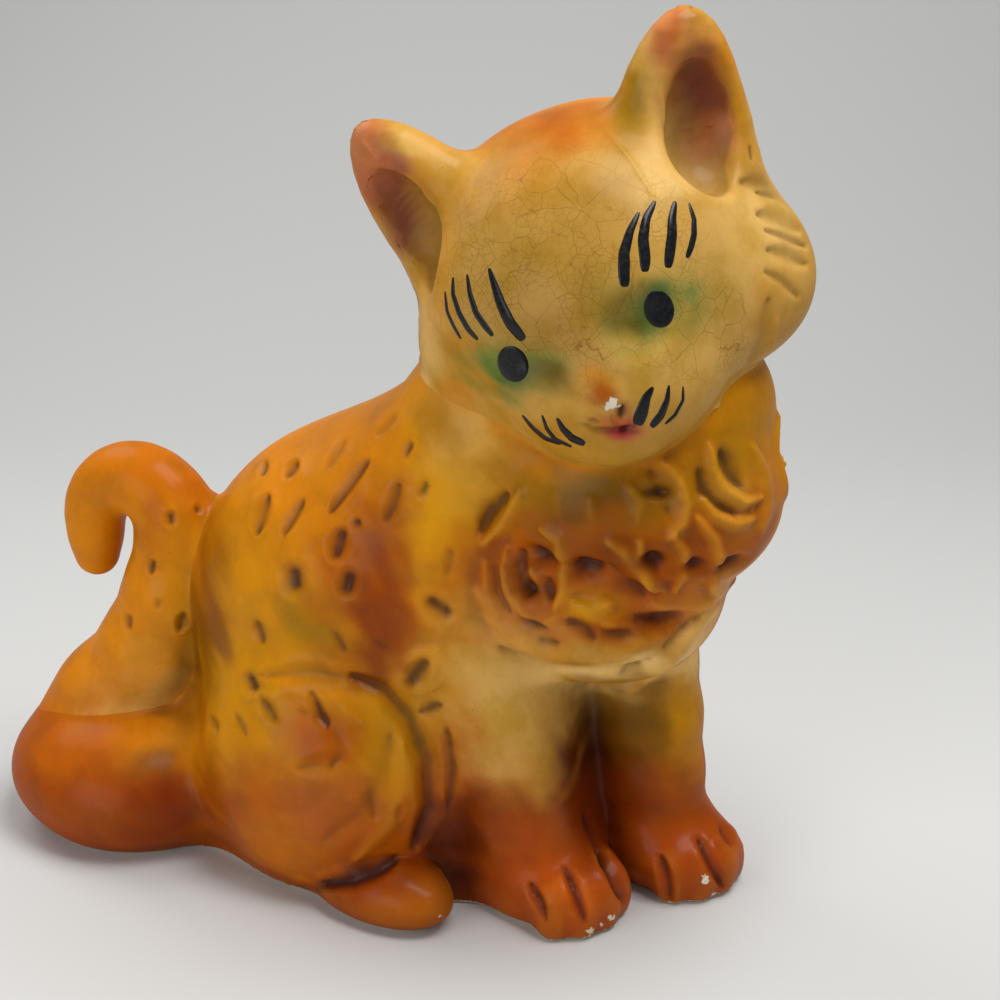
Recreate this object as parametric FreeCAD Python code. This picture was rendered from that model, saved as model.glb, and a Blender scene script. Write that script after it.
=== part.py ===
import FreeCAD, Part
import math
import os

from FreeCAD import Matrix, Placement, Rotation, Vector

# Seated chalkware kitten, cast hollow in plaster. Millimetres, +Z up, +X towards the chest.
# The origin is the centre of the pour hole, on the face that the figure stands on.
# The head looks towards -Y, over the near shoulder.

# The body: the torso's length, width and shoulder height
body_length = 190.0
body_width = 84.0
body_height = 160.0

# The head: its own width, depth and height, and how it sits on the neck
head_width = 98.0
head_depth = 98.0
head_height = 88.0
head_turn = 14.8
head_nod = 10.2
head_tilt = -20.8
head_place_shares = (0.338, -0.095, 1.2575)

# The ears: how far one stands out of the skull, and how wide and deep it is at its root
ear_length = 49.0
ear_width = 50.0
ear_depth = 34.0
ear_lean = 21.0
ear_turn = 28.0
ear_hollow_depth = 15.0

# The legs: their thickness at the wrist, and the paws
near_leg_radius = 18.0
far_leg_radius = 16.0
paw_length = 44.0
paw_width = 38.0
paw_height = 27.0
paw_heading = -35.0
toe_count = 4
toe_spread = 84.0
toe_width_share = 0.72
toe_height_share = 0.42
toe_drop_share = 0.125
hind_foot_length = 58.0
hind_foot_width = 30.0
hind_foot_height = 24.0

# The ruff: pits pressed into it, which leave its curls standing between them
pit_length = 14.0
pit_height = 8.0
pit_depth = 4.0

# The tail: its thickness, and the line that it follows
tail_radius = 14.0
tail_root_bend = 30.0
tail_rise = 7.0
tail_back_bend = 80.0
tail_arch_bend = 15.5
tail_tip_drop = 13.0
tail_heading = 42.0
tail_place_shares = (-0.603, -0.072, 0.112)

# The plaster: its thickness as cast, and the joints between the castings
wall = 8.0
base_wall = 10.0
joint_gap = 0.3
spigot_radius = 22.0
spigot_length = 16.0
pour_hole_radius = 21.0
plug_step = 4.0
wire_radius = 2.0
wire_up_tail = 7.0
wire_into_body = 7.0

# How far a cutting tool runs past what it cuts
overrun = 5.0

# Level sections of the torso: height, back edge, front edge, half width and sideways shift,
# as shares of the body's height, length, length, width and width
torso_section_shares = (
    (0.000, -0.425, 0.350, 0.400, 0.03),
    (0.125, -0.442, 0.355, 0.450, 0.06),
    (0.250, -0.438, 0.337, 0.490, 0.08),
    (0.375, -0.420, 0.334, 0.520, 0.09),
    (0.500, -0.392, 0.339, 0.515, 0.08),
    (0.625, -0.350, 0.363, 0.500, 0.07),
    (0.750, -0.262, 0.396, 0.475, 0.05),
    (0.875, -0.115, 0.412, 0.440, 0.02),
    (1.000, 0.026, 0.437, 0.415, -0.01),
    (1.110, 0.100, 0.437, 0.385, -0.02),
)

# Rounded masses of the body: centre and half sizes as shares of its length, width and height
rump_shares = ((-0.484, -0.048, 0.1125), (0.237, 0.524, 0.169))
loin_shares = ((-0.316, 0.143, 0.2625), (0.190, 0.226, 0.288))
back_shares = ((-0.062, 0.071, 0.580), (0.325, 0.510, 0.318))
back_slope = -30.0
near_haunch_shares = ((-0.084, -0.298, 0.237), (0.195, 0.310, 0.237))
far_haunch_shares = ((-0.084, 0.440, 0.237), (0.195, 0.262, 0.225))
upper_ruff_shares = ((0.395, -0.036, 0.860), (0.235, 0.478, 0.206))
lower_ruff_shares = ((0.358, -0.071, 0.675), (0.195, 0.380, 0.200))
collar_shares = ((0.400, 0.012, 1.000), (0.205, 0.440, 0.187))
ruff_slope = 10.0

# Where the feet stand: centre as shares of the body's length, width and height, and heading
near_hind_foot_shares = (0.032, -0.429, 0.056)
far_hind_foot_shares = (0.011, 0.548, 0.056)
near_hind_heading = -18.0
far_hind_heading = 12.0
near_paw_shares = (0.316, -0.202, 0.062)
far_paw_shares = (0.463, 0.179, 0.062)

# A front leg from the shoulder down: place as shares of the body, radius as a share of the wrist
near_leg_shares = (
    ((0.160, 0.060, 0.800), 1.10),
    ((0.166, -0.060, 0.660), 1.30),
    ((0.184, -0.125, 0.520), 1.28),
    ((0.207, -0.155, 0.400), 1.16),
    ((0.228, -0.165, 0.280), 1.06),
    ((0.245, -0.167, 0.150), 1.00),
    ((0.256, -0.170, 0.050), 0.95),
)
far_leg_shares = (
    ((0.340, 0.040, 0.780), 1.00),
    ((0.362, 0.130, 0.620), 1.20),
    ((0.389, 0.190, 0.460), 1.12),
    ((0.405, 0.202, 0.340), 1.06),
    ((0.416, 0.202, 0.220), 1.00),
    ((0.425, 0.200, 0.120), 0.98),
    ((0.430, 0.195, 0.040), 0.94),
)

# The pits of the upper and the lower ruff: how high on its egg, as a share of the half height,
# the angle from the chest's front, the length as a share of a pit's, and the height and depth too
upper_pit_shares = (
    (0.61, 33.0, 0.76, 0.68),
    (0.38, 68.0, 0.64, 0.50),
    (0.23, 31.0, 0.62, 0.70),
    (0.17, 12.0, 0.80, 0.50),
    (-0.24, 32.0, 0.95, 0.70),
    (-0.22, 49.0, 0.72, 0.70),
    (-0.23, 65.0, 0.76, 1.00),
    (-0.43, 88.0, 1.00, 1.00),
    (-0.47, 108.0, 0.80, 0.80),
)
lower_pit_shares = (
    (-0.01, 43.0, 1.15, 0.60),
    (-0.15, 67.0, 0.90, 0.65),
    (0.17, 107.0, 0.80, 0.75),
    (-0.17, 107.0, 0.85, 0.65),
)

# Soft parts of the face, as shares of the head's half width, half depth and half height
skull_shares = ((0.0, 0.05, -0.02), (1.0, 1.02, 1.0))
bridge_shares = ((0.0, -0.480, -0.200), (0.460, 0.560, 0.620))
muzzle_shares = ((0.0, -0.571, -0.568), (0.540, 0.510, 0.410))
cheek_shares = ((0.653, 0.082, -0.386), (0.531, 0.612, 0.545))
nose_shares = ((0.0, -1.050, -0.370), (0.090, 0.075, 0.065))
chin_shares = ((0.0, -0.900, -0.740), (0.200, 0.150, 0.140))
socket_shares = ((0.414, -1.000, -0.014), (0.170, 0.110, 0.130))
ear_root_shares = (0.590, 0.060, 0.280)

# The ear's sections from its root to its tip: how far along, and width and depth there
ear_section_shares = (
    (-0.30, 1.00, 1.00),
    (-0.06, 0.98, 0.94),
    (0.18, 0.92, 0.85),
    (0.38, 0.83, 0.75),
    (0.55, 0.72, 0.65),
    (0.70, 0.60, 0.56),
    (0.82, 0.47, 0.45),
    (0.91, 0.34, 0.33),
    (0.97, 0.20, 0.21),
    (1.00, 0.07, 0.08),
)
ear_hollow_shares = (0.49, 0.24, 0.41)

# The tail's thickness from root to tip: share of the way along, share of its radius
tail_girth_shares = (
    (0.00, 1.00),
    (0.18, 1.20),
    (0.35, 1.24),
    (0.54, 1.08),
    (0.68, 0.82),
    (0.80, 0.69),
    (0.92, 0.60),
    (1.00, 0.50),
)
tail_step_turn = 20.0
tail_tip_angles = (25.0, 50.0, 72.0)


def at(shares):
    """A place given in shares of the body's length, width and height."""
    return Vector(shares[0] * body_length, shares[1] * body_width, shares[2] * body_height)


def egg(centre, half, rotation=Rotation()):
    """A solid ellipsoid from its centre, its three half sizes and its attitude."""
    ball = Part.makeSphere(1)
    stretch = Matrix()
    stretch.scale(half[0], half[1], half[2])
    solid = ball.transformGeometry(stretch)
    solid.Placement = Placement(centre, rotation)
    return solid


def body_mass(shares, grow=0.0, rotation=Rotation()):
    """One rounded mass of the body, thicker all round by the given length."""
    centre, half = shares
    size = at(half)
    return egg(at(centre), (size.x + grow, size.y + grow, size.z + grow), rotation)


def ellipse_wire(centre, half_x, half_y):
    """A level ellipse, whichever of its two half sizes is the longer."""
    if half_x >= half_y:
        curve = Part.Ellipse(centre + Vector(half_x, 0, 0), centre + Vector(0, half_y, 0), centre)
    else:
        curve = Part.Ellipse(centre + Vector(0, half_y, 0), centre - Vector(half_x, 0, 0), centre)
    return Part.Wire(curve.toShape())


def trunk(grow=0.0):
    """The torso's main mass, lofted through level ellipses from the base to the neck."""
    sections = []
    for height, back, front, half_width, shift in torso_section_shares:
        half_length = (front - back) * body_length / 2 + grow
        centre = Vector((front + back) * body_length / 2, shift * body_width, height * body_height)
        sections.append(ellipse_wire(centre, half_length, half_width * body_width + grow))
    return Part.makeLoft(sections, True, False)


def slab_above(height):
    """Everything above a level plane, as a block larger than the figure."""
    reach = body_length + body_height + head_height + ear_length
    corner = Vector(-reach, -reach, height)
    return Part.makeBox(2 * reach, 2 * reach, 2 * reach, corner)


def leg(rows, wrist_radius):
    """A front leg, lofted through level circles from the shoulder to the paw."""
    rings = []
    for shares, girth in rows:
        circle = Part.Circle(at(shares), Vector(0, 0, 1), girth * wrist_radius)
        rings.append(Part.Wire(circle.toShape()))
    return Part.makeLoft(rings, True, False)


def paw(shares):
    """A front paw with its toes fanned out round the front."""
    centre = at(shares)
    turn = Rotation(Vector(0, 0, 1), paw_heading)
    pieces = [egg(centre, (paw_length / 2, paw_width / 2, paw_height / 2), turn)]
    toe_half = paw_width / toe_count
    for index in range(toe_count):
        fan = paw_heading + toe_spread * (index / (toe_count - 1) - 1 / 2)
        way = Vector(math.cos(math.radians(fan)), math.sin(math.radians(fan)), 0)
        spot = centre + way * (paw_length / 2 - toe_half) - Vector(0, 0, toe_drop_share * paw_height)
        toe_turn = Rotation(Vector(0, 0, 1), fan)
        pieces.append(egg(spot, (toe_half, toe_half * toe_width_share, paw_height * toe_height_share), toe_turn))
    return pieces


def hind_foot(shares, heading):
    """A hind foot, which shows under the haunch."""
    half = (hind_foot_length / 2, hind_foot_width / 2, hind_foot_height / 2)
    return egg(at(shares), half, Rotation(Vector(0, 0, 1), heading))


def skin_spot(shares, tilt, height_share, angle):
    """A spot on the skin of a rounded mass of the body, and how its skin faces there."""
    centre = at(shares[0])
    half = at(shares[1])
    ring = math.sqrt(1 - height_share * height_share)
    turn = math.radians(angle)
    local = Vector(half.x * ring * math.cos(turn), half.y * ring * math.sin(turn), half.z * height_share)
    slope = Rotation(Vector(0, 1, 0), tilt)
    out = Vector(local.x / half.x ** 2, local.y / half.y ** 2, local.z / half.z ** 2)
    out.normalize()
    out = slope.multVec(out)
    down = Vector(0, 0, -1)
    down = down - out * down.dot(out)
    down.normalize()
    return centre + slope.multVec(local), Rotation(down, out.cross(down), out, "ZXY")


def ruff_pits():
    """The pits of both steps of the ruff, on the near side and mirrored on the far side."""
    pits = []
    steps = ((upper_ruff_shares, ruff_slope, upper_pit_shares), (lower_ruff_shares, 0.0, lower_pit_shares))
    for mass, tilt, rows in steps:
        for height_share, angle, long_share, deep_share in rows:
            half = (deep_share * pit_height / 2, long_share * pit_length / 2, deep_share * pit_depth)
            for side in (-1, 1):
                spot, attitude = skin_spot(mass, tilt, height_share, side * angle)
                pits.append(egg(spot, half, attitude))
    return pits


def head_rotation():
    """The head's attitude: turned about the upright, then nodded, then tilted sideways."""
    turn = Rotation(Vector(0, 0, 1), head_turn)
    nod = Rotation(Vector(1, 0, 0), head_nod)
    tilt = Rotation(Vector(0, 1, 0), head_tilt)
    return turn.multiply(nod).multiply(tilt)


def head_at(shares):
    """A place given in shares of the head's half width, half depth and half height."""
    local = Vector(shares[0] * head_width / 2, shares[1] * head_depth / 2, shares[2] * head_height / 2)
    return at(head_place_shares) + head_rotation().multVec(local)


def head_mass(shares, side=1, grow=0.0):
    """One rounded mass of the head, on the given side where it has a pair."""
    centre, half = shares
    size = (half[0] * head_width / 2 + grow, half[1] * head_depth / 2 + grow, half[2] * head_height / 2 + grow)
    return egg(head_at((side * centre[0], centre[1], centre[2])), size, head_rotation())


def ear_attitude(side):
    """An ear leans out sideways from the head and turns its hollow outwards."""
    lean = Rotation(Vector(0, 1, 0), side * ear_lean)
    turn = Rotation(Vector(0, 0, 1), side * ear_turn)
    return head_rotation().multiply(lean).multiply(turn)


def ear(side):
    """An ear, lofted from its root to a rounded tip."""
    root = head_at((side * ear_root_shares[0], ear_root_shares[1], ear_root_shares[2]))
    rings = []
    for along, width, depth in ear_section_shares:
        rings.append(ellipse_wire(Vector(0, 0, along * ear_length), width * ear_width / 2, depth * ear_depth / 2))
    solid = Part.makeLoft(rings, True, False)
    solid.Placement = Placement(root, ear_attitude(side))
    return solid


def ear_hollow(side):
    """The hollow in the front of an ear."""
    root = head_at((side * ear_root_shares[0], ear_root_shares[1], ear_root_shares[2]))
    along, half_width, half_length = ear_hollow_shares
    spot = root + ear_attitude(side).multVec(Vector(0, -ear_depth / 2, along * ear_length))
    half = (half_width * ear_width, ear_hollow_depth, half_length * ear_length)
    return egg(spot, half, ear_attitude(side))


def head_outside(grow=0.0):
    """The skull, muzzle and cheeks, without the ears."""
    skull = head_mass(skull_shares, grow=grow)
    soft = [head_mass(muzzle_shares, grow=grow), head_mass(bridge_shares, grow=grow)]
    soft = soft + [head_mass(cheek_shares, side, grow) for side in (-1, 1)]
    return skull.fuse(soft)


def neck_axis():
    """The foot of the neck spigot, straight under the middle of the head."""
    centre = at(head_place_shares)
    return Vector(centre.x, centre.y, 0)


def spigot(radius, bottom, top):
    """A round of the neck, upright under the head."""
    foot = neck_axis() + Vector(0, 0, bottom)
    return Part.makeCylinder(radius, top - bottom, foot)


def seat_height():
    """The height at which the neck enters the underside of the head."""
    return at(head_place_shares).z - head_height / 2 - spigot_length


def head_casting():
    """The head with its ears, hollow inside, with the spigot that goes into the neck."""
    outside = head_outside()
    outside = outside.fuse([ear(-1), ear(1), head_mass(nose_shares), head_mass(chin_shares)])
    outside = outside.cut([ear_hollow(-1), ear_hollow(1), head_mass(socket_shares, -1), head_mass(socket_shares, 1)])
    middle = at(head_place_shares).z
    outside = outside.fuse(spigot(spigot_radius, seat_height(), middle))
    inside = head_mass(skull_shares, grow=-wall)
    inside = inside.fuse(spigot(spigot_radius - wall, seat_height() - overrun, middle))
    return outside.cut(inside)


def tail_line():
    """The tail's middle line: points, directions and distances from its root to its tip."""
    point = at(tail_place_shares)
    heading = 90.0
    moves = (
        (-(90.0 - tail_heading), tail_root_bend),
        (0.0, tail_rise),
        (90.0 - tail_heading, tail_back_bend),
        (180.0, tail_arch_bend),
        (0.0, tail_tip_drop),
    )
    line = [(point, heading, 0.0)]
    travelled = 0.0
    for turn, size in moves:
        steps = max(2, math.ceil(abs(turn) / tail_step_turn))
        for _ in range(steps):
            if turn == 0:
                chord = size / steps
                way = heading
            else:
                half_turn = math.radians(turn / steps / 2)
                chord = 2 * size * abs(math.sin(half_turn))
                way = heading + turn / steps / 2
            ahead = Vector(math.cos(math.radians(way)), 0, math.sin(math.radians(way)))
            point = point + ahead * chord
            heading = heading + turn / steps
            travelled = travelled + chord
            line.append((point, heading, travelled))
    return line


def girth_at(share):
    """The tail's radius at a share of the way from its root to its tip."""
    for (start, first), (end, last) in zip(tail_girth_shares, tail_girth_shares[1:]):
        if share <= end:
            break
    blend = (share - start) / (end - start)
    blend = blend * blend * (3 - 2 * blend)
    return tail_radius * (first + (last - first) * blend)


def tail_ring(point, heading, radius):
    """A round of the tail, square to its heading, that starts on the same side each time."""
    ahead = Vector(math.cos(math.radians(heading)), 0, math.sin(math.radians(heading)))
    aside = Vector(0, 1, 0)
    ring = Part.Wire(Part.Circle(Vector(), Vector(0, 0, 1), radius).toShape())
    ring.Placement = Placement(point, Rotation(aside, ahead.cross(aside), ahead, "ZXY"))
    return ring


def tail_outside(grow=0.0):
    """The tail as cast: lofted through rounds along its line, and rounded off at the tip."""
    line = tail_line()
    whole = line[-1][2]
    rings = [tail_ring(point, heading, girth_at(way / whole) + grow) for point, heading, way in line]
    point, heading, _ = line[-1]
    ahead = Vector(math.cos(math.radians(heading)), 0, math.sin(math.radians(heading)))
    tip_radius = girth_at(1.0) + grow
    for angle in tail_tip_angles:
        on = point + ahead * (tip_radius * math.sin(math.radians(angle)))
        rings.append(tail_ring(on, heading, tip_radius * math.cos(math.radians(angle))))
    return Part.makeLoft(rings, True, False)


def armature(radius):
    """The wire that keys the tail to the rump: a stub in the body, then round the root's bend and up."""
    root = at(tail_place_shares)
    turn = math.radians(90.0 - tail_heading)
    centre = root + Vector(tail_root_bend, 0, 0)
    middle = centre + Vector(-math.cos(turn / 2), 0, math.sin(turn / 2)) * tail_root_bend
    end = centre + Vector(-math.cos(turn), 0, math.sin(turn)) * tail_root_bend
    up = Vector(math.cos(math.radians(tail_heading)), 0, math.sin(math.radians(tail_heading)))
    start = root - Vector(0, 0, wire_into_body)
    stub = Part.LineSegment(start, root).toShape()
    bend = Part.Arc(root, middle, end).toShape()
    rise = Part.LineSegment(end, end + up * wire_up_tail).toShape()
    ring = Part.Wire(Part.Circle(start, Vector(0, 0, 1), radius).toShape())
    return Part.Wire([stub, bend, rise]).makePipeShell([ring], True, False)


def torso_outside(grow=0.0):
    """The body without its head and tail, before it is hollowed."""
    lean = Rotation(Vector(0, 1, 0), back_slope)
    slope = Rotation(Vector(0, 1, 0), ruff_slope)
    masses = [
        body_mass(rump_shares, grow),
        body_mass(loin_shares, grow),
        body_mass(back_shares, grow, lean),
        body_mass(near_haunch_shares, grow),
        body_mass(far_haunch_shares, grow),
        body_mass(upper_ruff_shares, grow, slope),
        body_mass(lower_ruff_shares, grow),
        body_mass(collar_shares, grow),
    ]
    return trunk(grow).fuse(masses)


def torso_casting():
    """The hollow body, with its legs, feet and ruff, and the openings for the other castings."""
    limbs = [leg(near_leg_shares, near_leg_radius), leg(far_leg_shares, far_leg_radius)]
    limbs = limbs + paw(near_paw_shares) + paw(far_paw_shares)
    limbs.append(hind_foot(near_hind_foot_shares, near_hind_heading))
    limbs.append(hind_foot(far_hind_foot_shares, far_hind_heading))
    solid = torso_outside().fuse(limbs).cut(ruff_pits())
    solid = solid.common(slab_above(0))
    solid = solid.cut(trunk(-wall).common(slab_above(base_wall)))
    solid = solid.cut(head_outside(joint_gap))
    middle = at(head_place_shares).z
    solid = solid.cut(spigot(spigot_radius + joint_gap, seat_height() - overrun, middle))
    solid = solid.cut(tail_outside(joint_gap))
    solid = solid.cut(armature(wire_radius + joint_gap))
    return solid.cut(plug_shape(joint_gap, overrun))


def plug_shape(grow=0.0, past=0.0):
    """The pour hole's plug: a round through the base with a wider step on the outside."""
    foot = Part.makeCylinder(pour_hole_radius + plug_step + grow, base_wall / 2 + grow)
    stem = Part.makeCylinder(pour_hole_radius + grow, base_wall + past)
    return foot.fuse(stem)


def base_plug():
    """The plug, struck off level with the face that the figure stands on."""
    return plug_shape()


def tail_casting():
    """The whole tail, from its root in the rump's socket to its tip, with its wire cast in."""
    return tail_outside().cut(armature(wire_radius))


def save(name, solid):
    """Write one piece of the figure to its own file."""
    print(name, "valid" if solid.isValid() else "NOT VALID", len(solid.Solids), "solid", round(solid.Volume))
    solid.exportStep(os.path.join("parts", name + ".step"))


os.makedirs("parts", exist_ok=True)
save("torso_casting", torso_casting())
save("head_casting", head_casting())
save("tail_casting", tail_casting())
save("tail_wire", armature(wire_radius))
save("base_plug", base_plug())
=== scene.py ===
# %% [markdown]
# # A seated chalkware kitten
# Chalkware is plaster of Paris cast in a mould, dipped in a yellow ground, airbrushed while damp,
# touched up with black enamel and varnished. The looks are made in that order: soft masses are
# run together into one skin per casting, the fur is pressed into the skin, then come the paint,
# the enamel and the varnish. All sizes are millimetres of the real figure until the last step.

# %% The frame
import bmesh
import bpy
import math
import numpy as np
from mathutils import Matrix, Vector
from mathutils.bvhtree import BVHTree


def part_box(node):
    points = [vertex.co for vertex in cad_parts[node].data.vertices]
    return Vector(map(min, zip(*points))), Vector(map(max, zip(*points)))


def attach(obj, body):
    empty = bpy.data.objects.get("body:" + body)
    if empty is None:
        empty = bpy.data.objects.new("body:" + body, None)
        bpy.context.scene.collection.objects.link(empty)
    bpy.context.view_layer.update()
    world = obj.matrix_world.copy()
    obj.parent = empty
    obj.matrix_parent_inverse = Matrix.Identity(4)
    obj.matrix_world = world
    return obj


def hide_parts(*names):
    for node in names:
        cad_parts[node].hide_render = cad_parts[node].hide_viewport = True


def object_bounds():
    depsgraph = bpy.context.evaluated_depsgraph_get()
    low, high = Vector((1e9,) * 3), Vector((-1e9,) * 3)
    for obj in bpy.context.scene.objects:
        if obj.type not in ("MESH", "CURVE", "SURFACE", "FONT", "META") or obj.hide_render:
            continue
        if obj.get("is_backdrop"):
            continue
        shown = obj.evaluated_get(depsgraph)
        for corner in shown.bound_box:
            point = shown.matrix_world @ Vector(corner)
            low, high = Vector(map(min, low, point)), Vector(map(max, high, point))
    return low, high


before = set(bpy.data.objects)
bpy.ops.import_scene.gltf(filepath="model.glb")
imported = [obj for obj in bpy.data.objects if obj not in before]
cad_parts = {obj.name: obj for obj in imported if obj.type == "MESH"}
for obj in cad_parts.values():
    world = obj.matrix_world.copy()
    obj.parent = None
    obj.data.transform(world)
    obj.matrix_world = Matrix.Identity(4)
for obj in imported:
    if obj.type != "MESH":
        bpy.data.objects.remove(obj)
cad_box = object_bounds()

# %% [markdown]
# ## How long a millimetre is
# The torso casting is 256.4 mm long on the real figure, so its length in the frame tells how long
# a millimetre is there. A frame of another size then gets looks of that size.

# %% The length of a millimetre
TORSO_LENGTH = 256.4
torso_low, torso_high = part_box("torso_casting")
MM = (torso_high.x - torso_low.x) / TORSO_LENGTH
print("one millimetre of the figure is", round(MM, 6), "m in the frame")

# %% [markdown]
# ## The camera
# The photograph looks down on the kitten's near flank from about its own head's height. The
# camera comes first, because the fur and the paint are placed where the photograph shows them.

# %% The camera
PHOTO_SIZE = 1000
FOCAL_PIXELS = 1866
CAMERA_DISTANCE = 560
CAMERA_TARGET = np.array((34.0, 0.0, 125.0))
CAMERA_AZIMUTH = math.radians(20)
CAMERA_ELEVATION = math.radians(20)
SENSOR, CLIP_START = 36, 10

BACKWARD = np.array((
    math.sin(CAMERA_AZIMUTH) * math.cos(CAMERA_ELEVATION),
    -math.cos(CAMERA_AZIMUTH) * math.cos(CAMERA_ELEVATION),
    math.sin(CAMERA_ELEVATION),
))
CAMERA_PLACE = CAMERA_TARGET + CAMERA_DISTANCE * BACKWARD
RIGHTWARD = np.array((math.cos(CAMERA_AZIMUTH), math.sin(CAMERA_AZIMUTH), 0.0))
UPWARD = np.cross(BACKWARD, RIGHTWARD)

camera = bpy.data.objects.new("camera", bpy.data.cameras.new("camera"))
bpy.context.scene.collection.objects.link(camera)
camera.data.sensor_width = SENSOR
camera.data.lens = SENSOR * FOCAL_PIXELS / PHOTO_SIZE
camera.data.clip_start = CLIP_START * MM
camera.location = Vector(CAMERA_PLACE * MM)
camera.rotation_euler = Vector(BACKWARD).to_track_quat("Z", "Y").to_euler()
bpy.context.scene.camera = camera
bpy.context.scene.view_settings.view_transform = "Standard"
print("the camera stands at", [round(x) for x in CAMERA_PLACE], "mm")


def photo_places(points):
    """Where the camera sees each point, in the photograph's pixels."""
    offsets = points - CAMERA_PLACE
    depths = -offsets @ BACKWARD
    across = PHOTO_SIZE / 2 + FOCAL_PIXELS * (offsets @ RIGHTWARD) / depths
    down = PHOTO_SIZE / 2 - FOCAL_PIXELS * (offsets @ UPWARD) / depths
    return np.stack([across, down], 1)


# %% [markdown]
# ## Soft masses
# Each casting is a few rounded masses that run into each other. A mass is written as a distance:
# below zero inside, above zero outside. Two distances run together softly over a given width,
# which is how modelling clay is smoothed over a joint.

# %% Distances to the masses
def turned(yaw=0.0, pitch=0.0, roll=0.0):
    """An attitude: turned about the upright, then about its own x, then about its own y."""
    about = [Matrix.Rotation(math.radians(a), 3, axis) for a, axis in ((yaw, "Z"), (pitch, "X"), (roll, "Y"))]
    return np.array(about[0] @ about[1] @ about[2])


def round_distance(local, half):
    """Distance to an egg or an oval whose half sizes may change from point to point."""
    size = np.linalg.norm(local / half, axis=1)
    slope = np.linalg.norm(local / half ** 2, axis=1)
    return size * (size - 1) / np.maximum(slope, 1e-9)


def egg(points, centre, half, attitude=np.eye(3)):
    """Distance to an egg-shaped mass."""
    return round_distance((points - np.array(centre)) @ attitude, np.array(half, float))


def tower(points, rows):
    """Distance to level ovals, each row a height, a low and high x, a half width and a shift in y."""
    table = np.array(rows)
    low, high, width, shift = (np.interp(points[:, 2], table[:, 0], table[:, i]) for i in range(1, 5))
    middle = np.stack([(low + high) / 2, shift], 1)
    side = round_distance(points[:, :2] - middle, np.stack([(high - low) / 2, width], 1))
    return np.maximum(side, np.maximum(points[:, 2] - table[-1, 0], table[0, 0] - points[:, 2]))


def limb(points, rows, soft):
    """Distance to a run of rounds, each row a centre and a radius."""
    whole = np.full(len(points), np.inf)
    for first, second in zip(rows, rows[1:]):
        start, reach = np.array(first[:3]), np.subtract(second[:3], first[:3])
        share = np.clip((points - start) @ reach / (reach @ reach), 0, 1)
        away = np.linalg.norm(points - start - share[:, None] * reach, axis=1)
        whole = join(whole, away - first[3] - (second[3] - first[3]) * share, soft)
    return whole


def join(one, other, soft):
    """Two masses run together over a width."""
    near = np.maximum(soft - np.abs(one - other), 0) / soft
    return np.minimum(one, other) - near * near * soft / 4


def hollow(mass, tool, soft):
    """A mass with another one pressed into it."""
    return -join(-mass, tool, soft)


# %% [markdown]
# ## The body
# The trunk stands up through level ovals. The back, rump, haunches and ruff are eggs on it, and
# the legs are runs of rounds. The sizes are the ones that the castings have in the frame.

# %% The body's masses
TRUNK_ROWS = (
    (-5, -80.8, 66.5, 33.6, 2.5), (20, -82.0, 67.5, 37.8, 5.0), (40, -77.0, 64.0, 41.2, 6.7),
    (60, -71.0, 63.5, 43.7, 7.6), (80, -66.0, 64.5, 43.3, 6.7), (100, -60.5, 69.0, 42.0, 5.9),
    (120, -47.0, 75.2, 39.9, 4.2), (140, -21.9, 78.3, 37.0, 1.7), (160, 4.9, 83.0, 34.9, -0.8),
    (178, 19.0, 83.0, 32.3, -1.7),
)
# Centre, half sizes, attitude, and the width over which the mass runs into the rest
BODY_EGGS = (
    ((-11.8, 6, 92.8), (61.8, 42.8, 50.9), turned(roll=-30), 12),
    ((-92, -4, 18), (45, 44, 27), turned(), 10),
    ((-60, 12, 42), (36, 19, 46), turned(), 12),
    ((-16, -25, 37.9), (37, 26, 37.9), turned(), 18),
    ((-16, 37, 37.9), (37, 22, 36), turned(), 5),
    ((6, -36, 9), (29, 15, 12), turned(yaw=-18), 3),
    ((2, 46, 9), (27, 15, 11.5), turned(yaw=12), 3),
)
RUFF_EGGS = (
    ((68, -6, 108), (37, 31.9, 32), turned(), 10),
    ((75, -3, 137.6), (44.6, 40.2, 33), turned(roll=10), 6),
    ((76, 1, 160), (39, 37, 29.9), turned(), 8),
)
NEAR_LEG_ROWS = (
    (30.4, 5, 128, 19.8), (31.5, -5, 105.6, 23.4), (35, -10.5, 83.2, 23), (39.3, -13, 64, 20.9),
    (43.3, -13.9, 44.8, 19.1), (46.6, -14, 24, 18), (48.6, -14.3, 10, 17),
)
FAR_LEG_ROWS = (
    (64.6, 3.4, 124.8, 16), (68.8, 10.9, 99.2, 19.2), (73.9, 16, 73.6, 17.9), (77, 17, 54.4, 17),
    (79, 17, 35.2, 16), (80.8, 16.8, 19.2, 15.7), (81.7, 16.4, 9, 15),
)
PAW_PLACES = ((60, -17, 10), (88, 15, 10))
PAW_HALF = (22, 19, 13.5)
PAW_YAW = -35
TOE_YAWS = (-77, -49, -21, 7)
TOE_HALF = (9.5, 6.8, 11.3)
TOE_REACH = 12.5
TOE_DROP = 3.4
LEG_SOFT, PAW_SOFT, TOE_SOFT, RUFF_SOFT = 6, 6, 3, 8
HOLE_RADIUS, HOLE_DEPTH, FOOT_SOFT = 25.3, 10.4, 2


def paw_eggs():
    """The pads of the paws, with their toes fanned out in front."""
    rows = []
    for place in PAW_PLACES:
        rows.append((place, PAW_HALF, turned(yaw=PAW_YAW), PAW_SOFT))
        for yaw in TOE_YAWS:
            way = np.array((math.cos(math.radians(yaw)), math.sin(math.radians(yaw)), 0))
            centre = np.array(place) + TOE_REACH * way - np.array((0, 0, TOE_DROP))
            rows.append((centre, TOE_HALF, turned(yaw=yaw), TOE_SOFT))
    return rows


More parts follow.
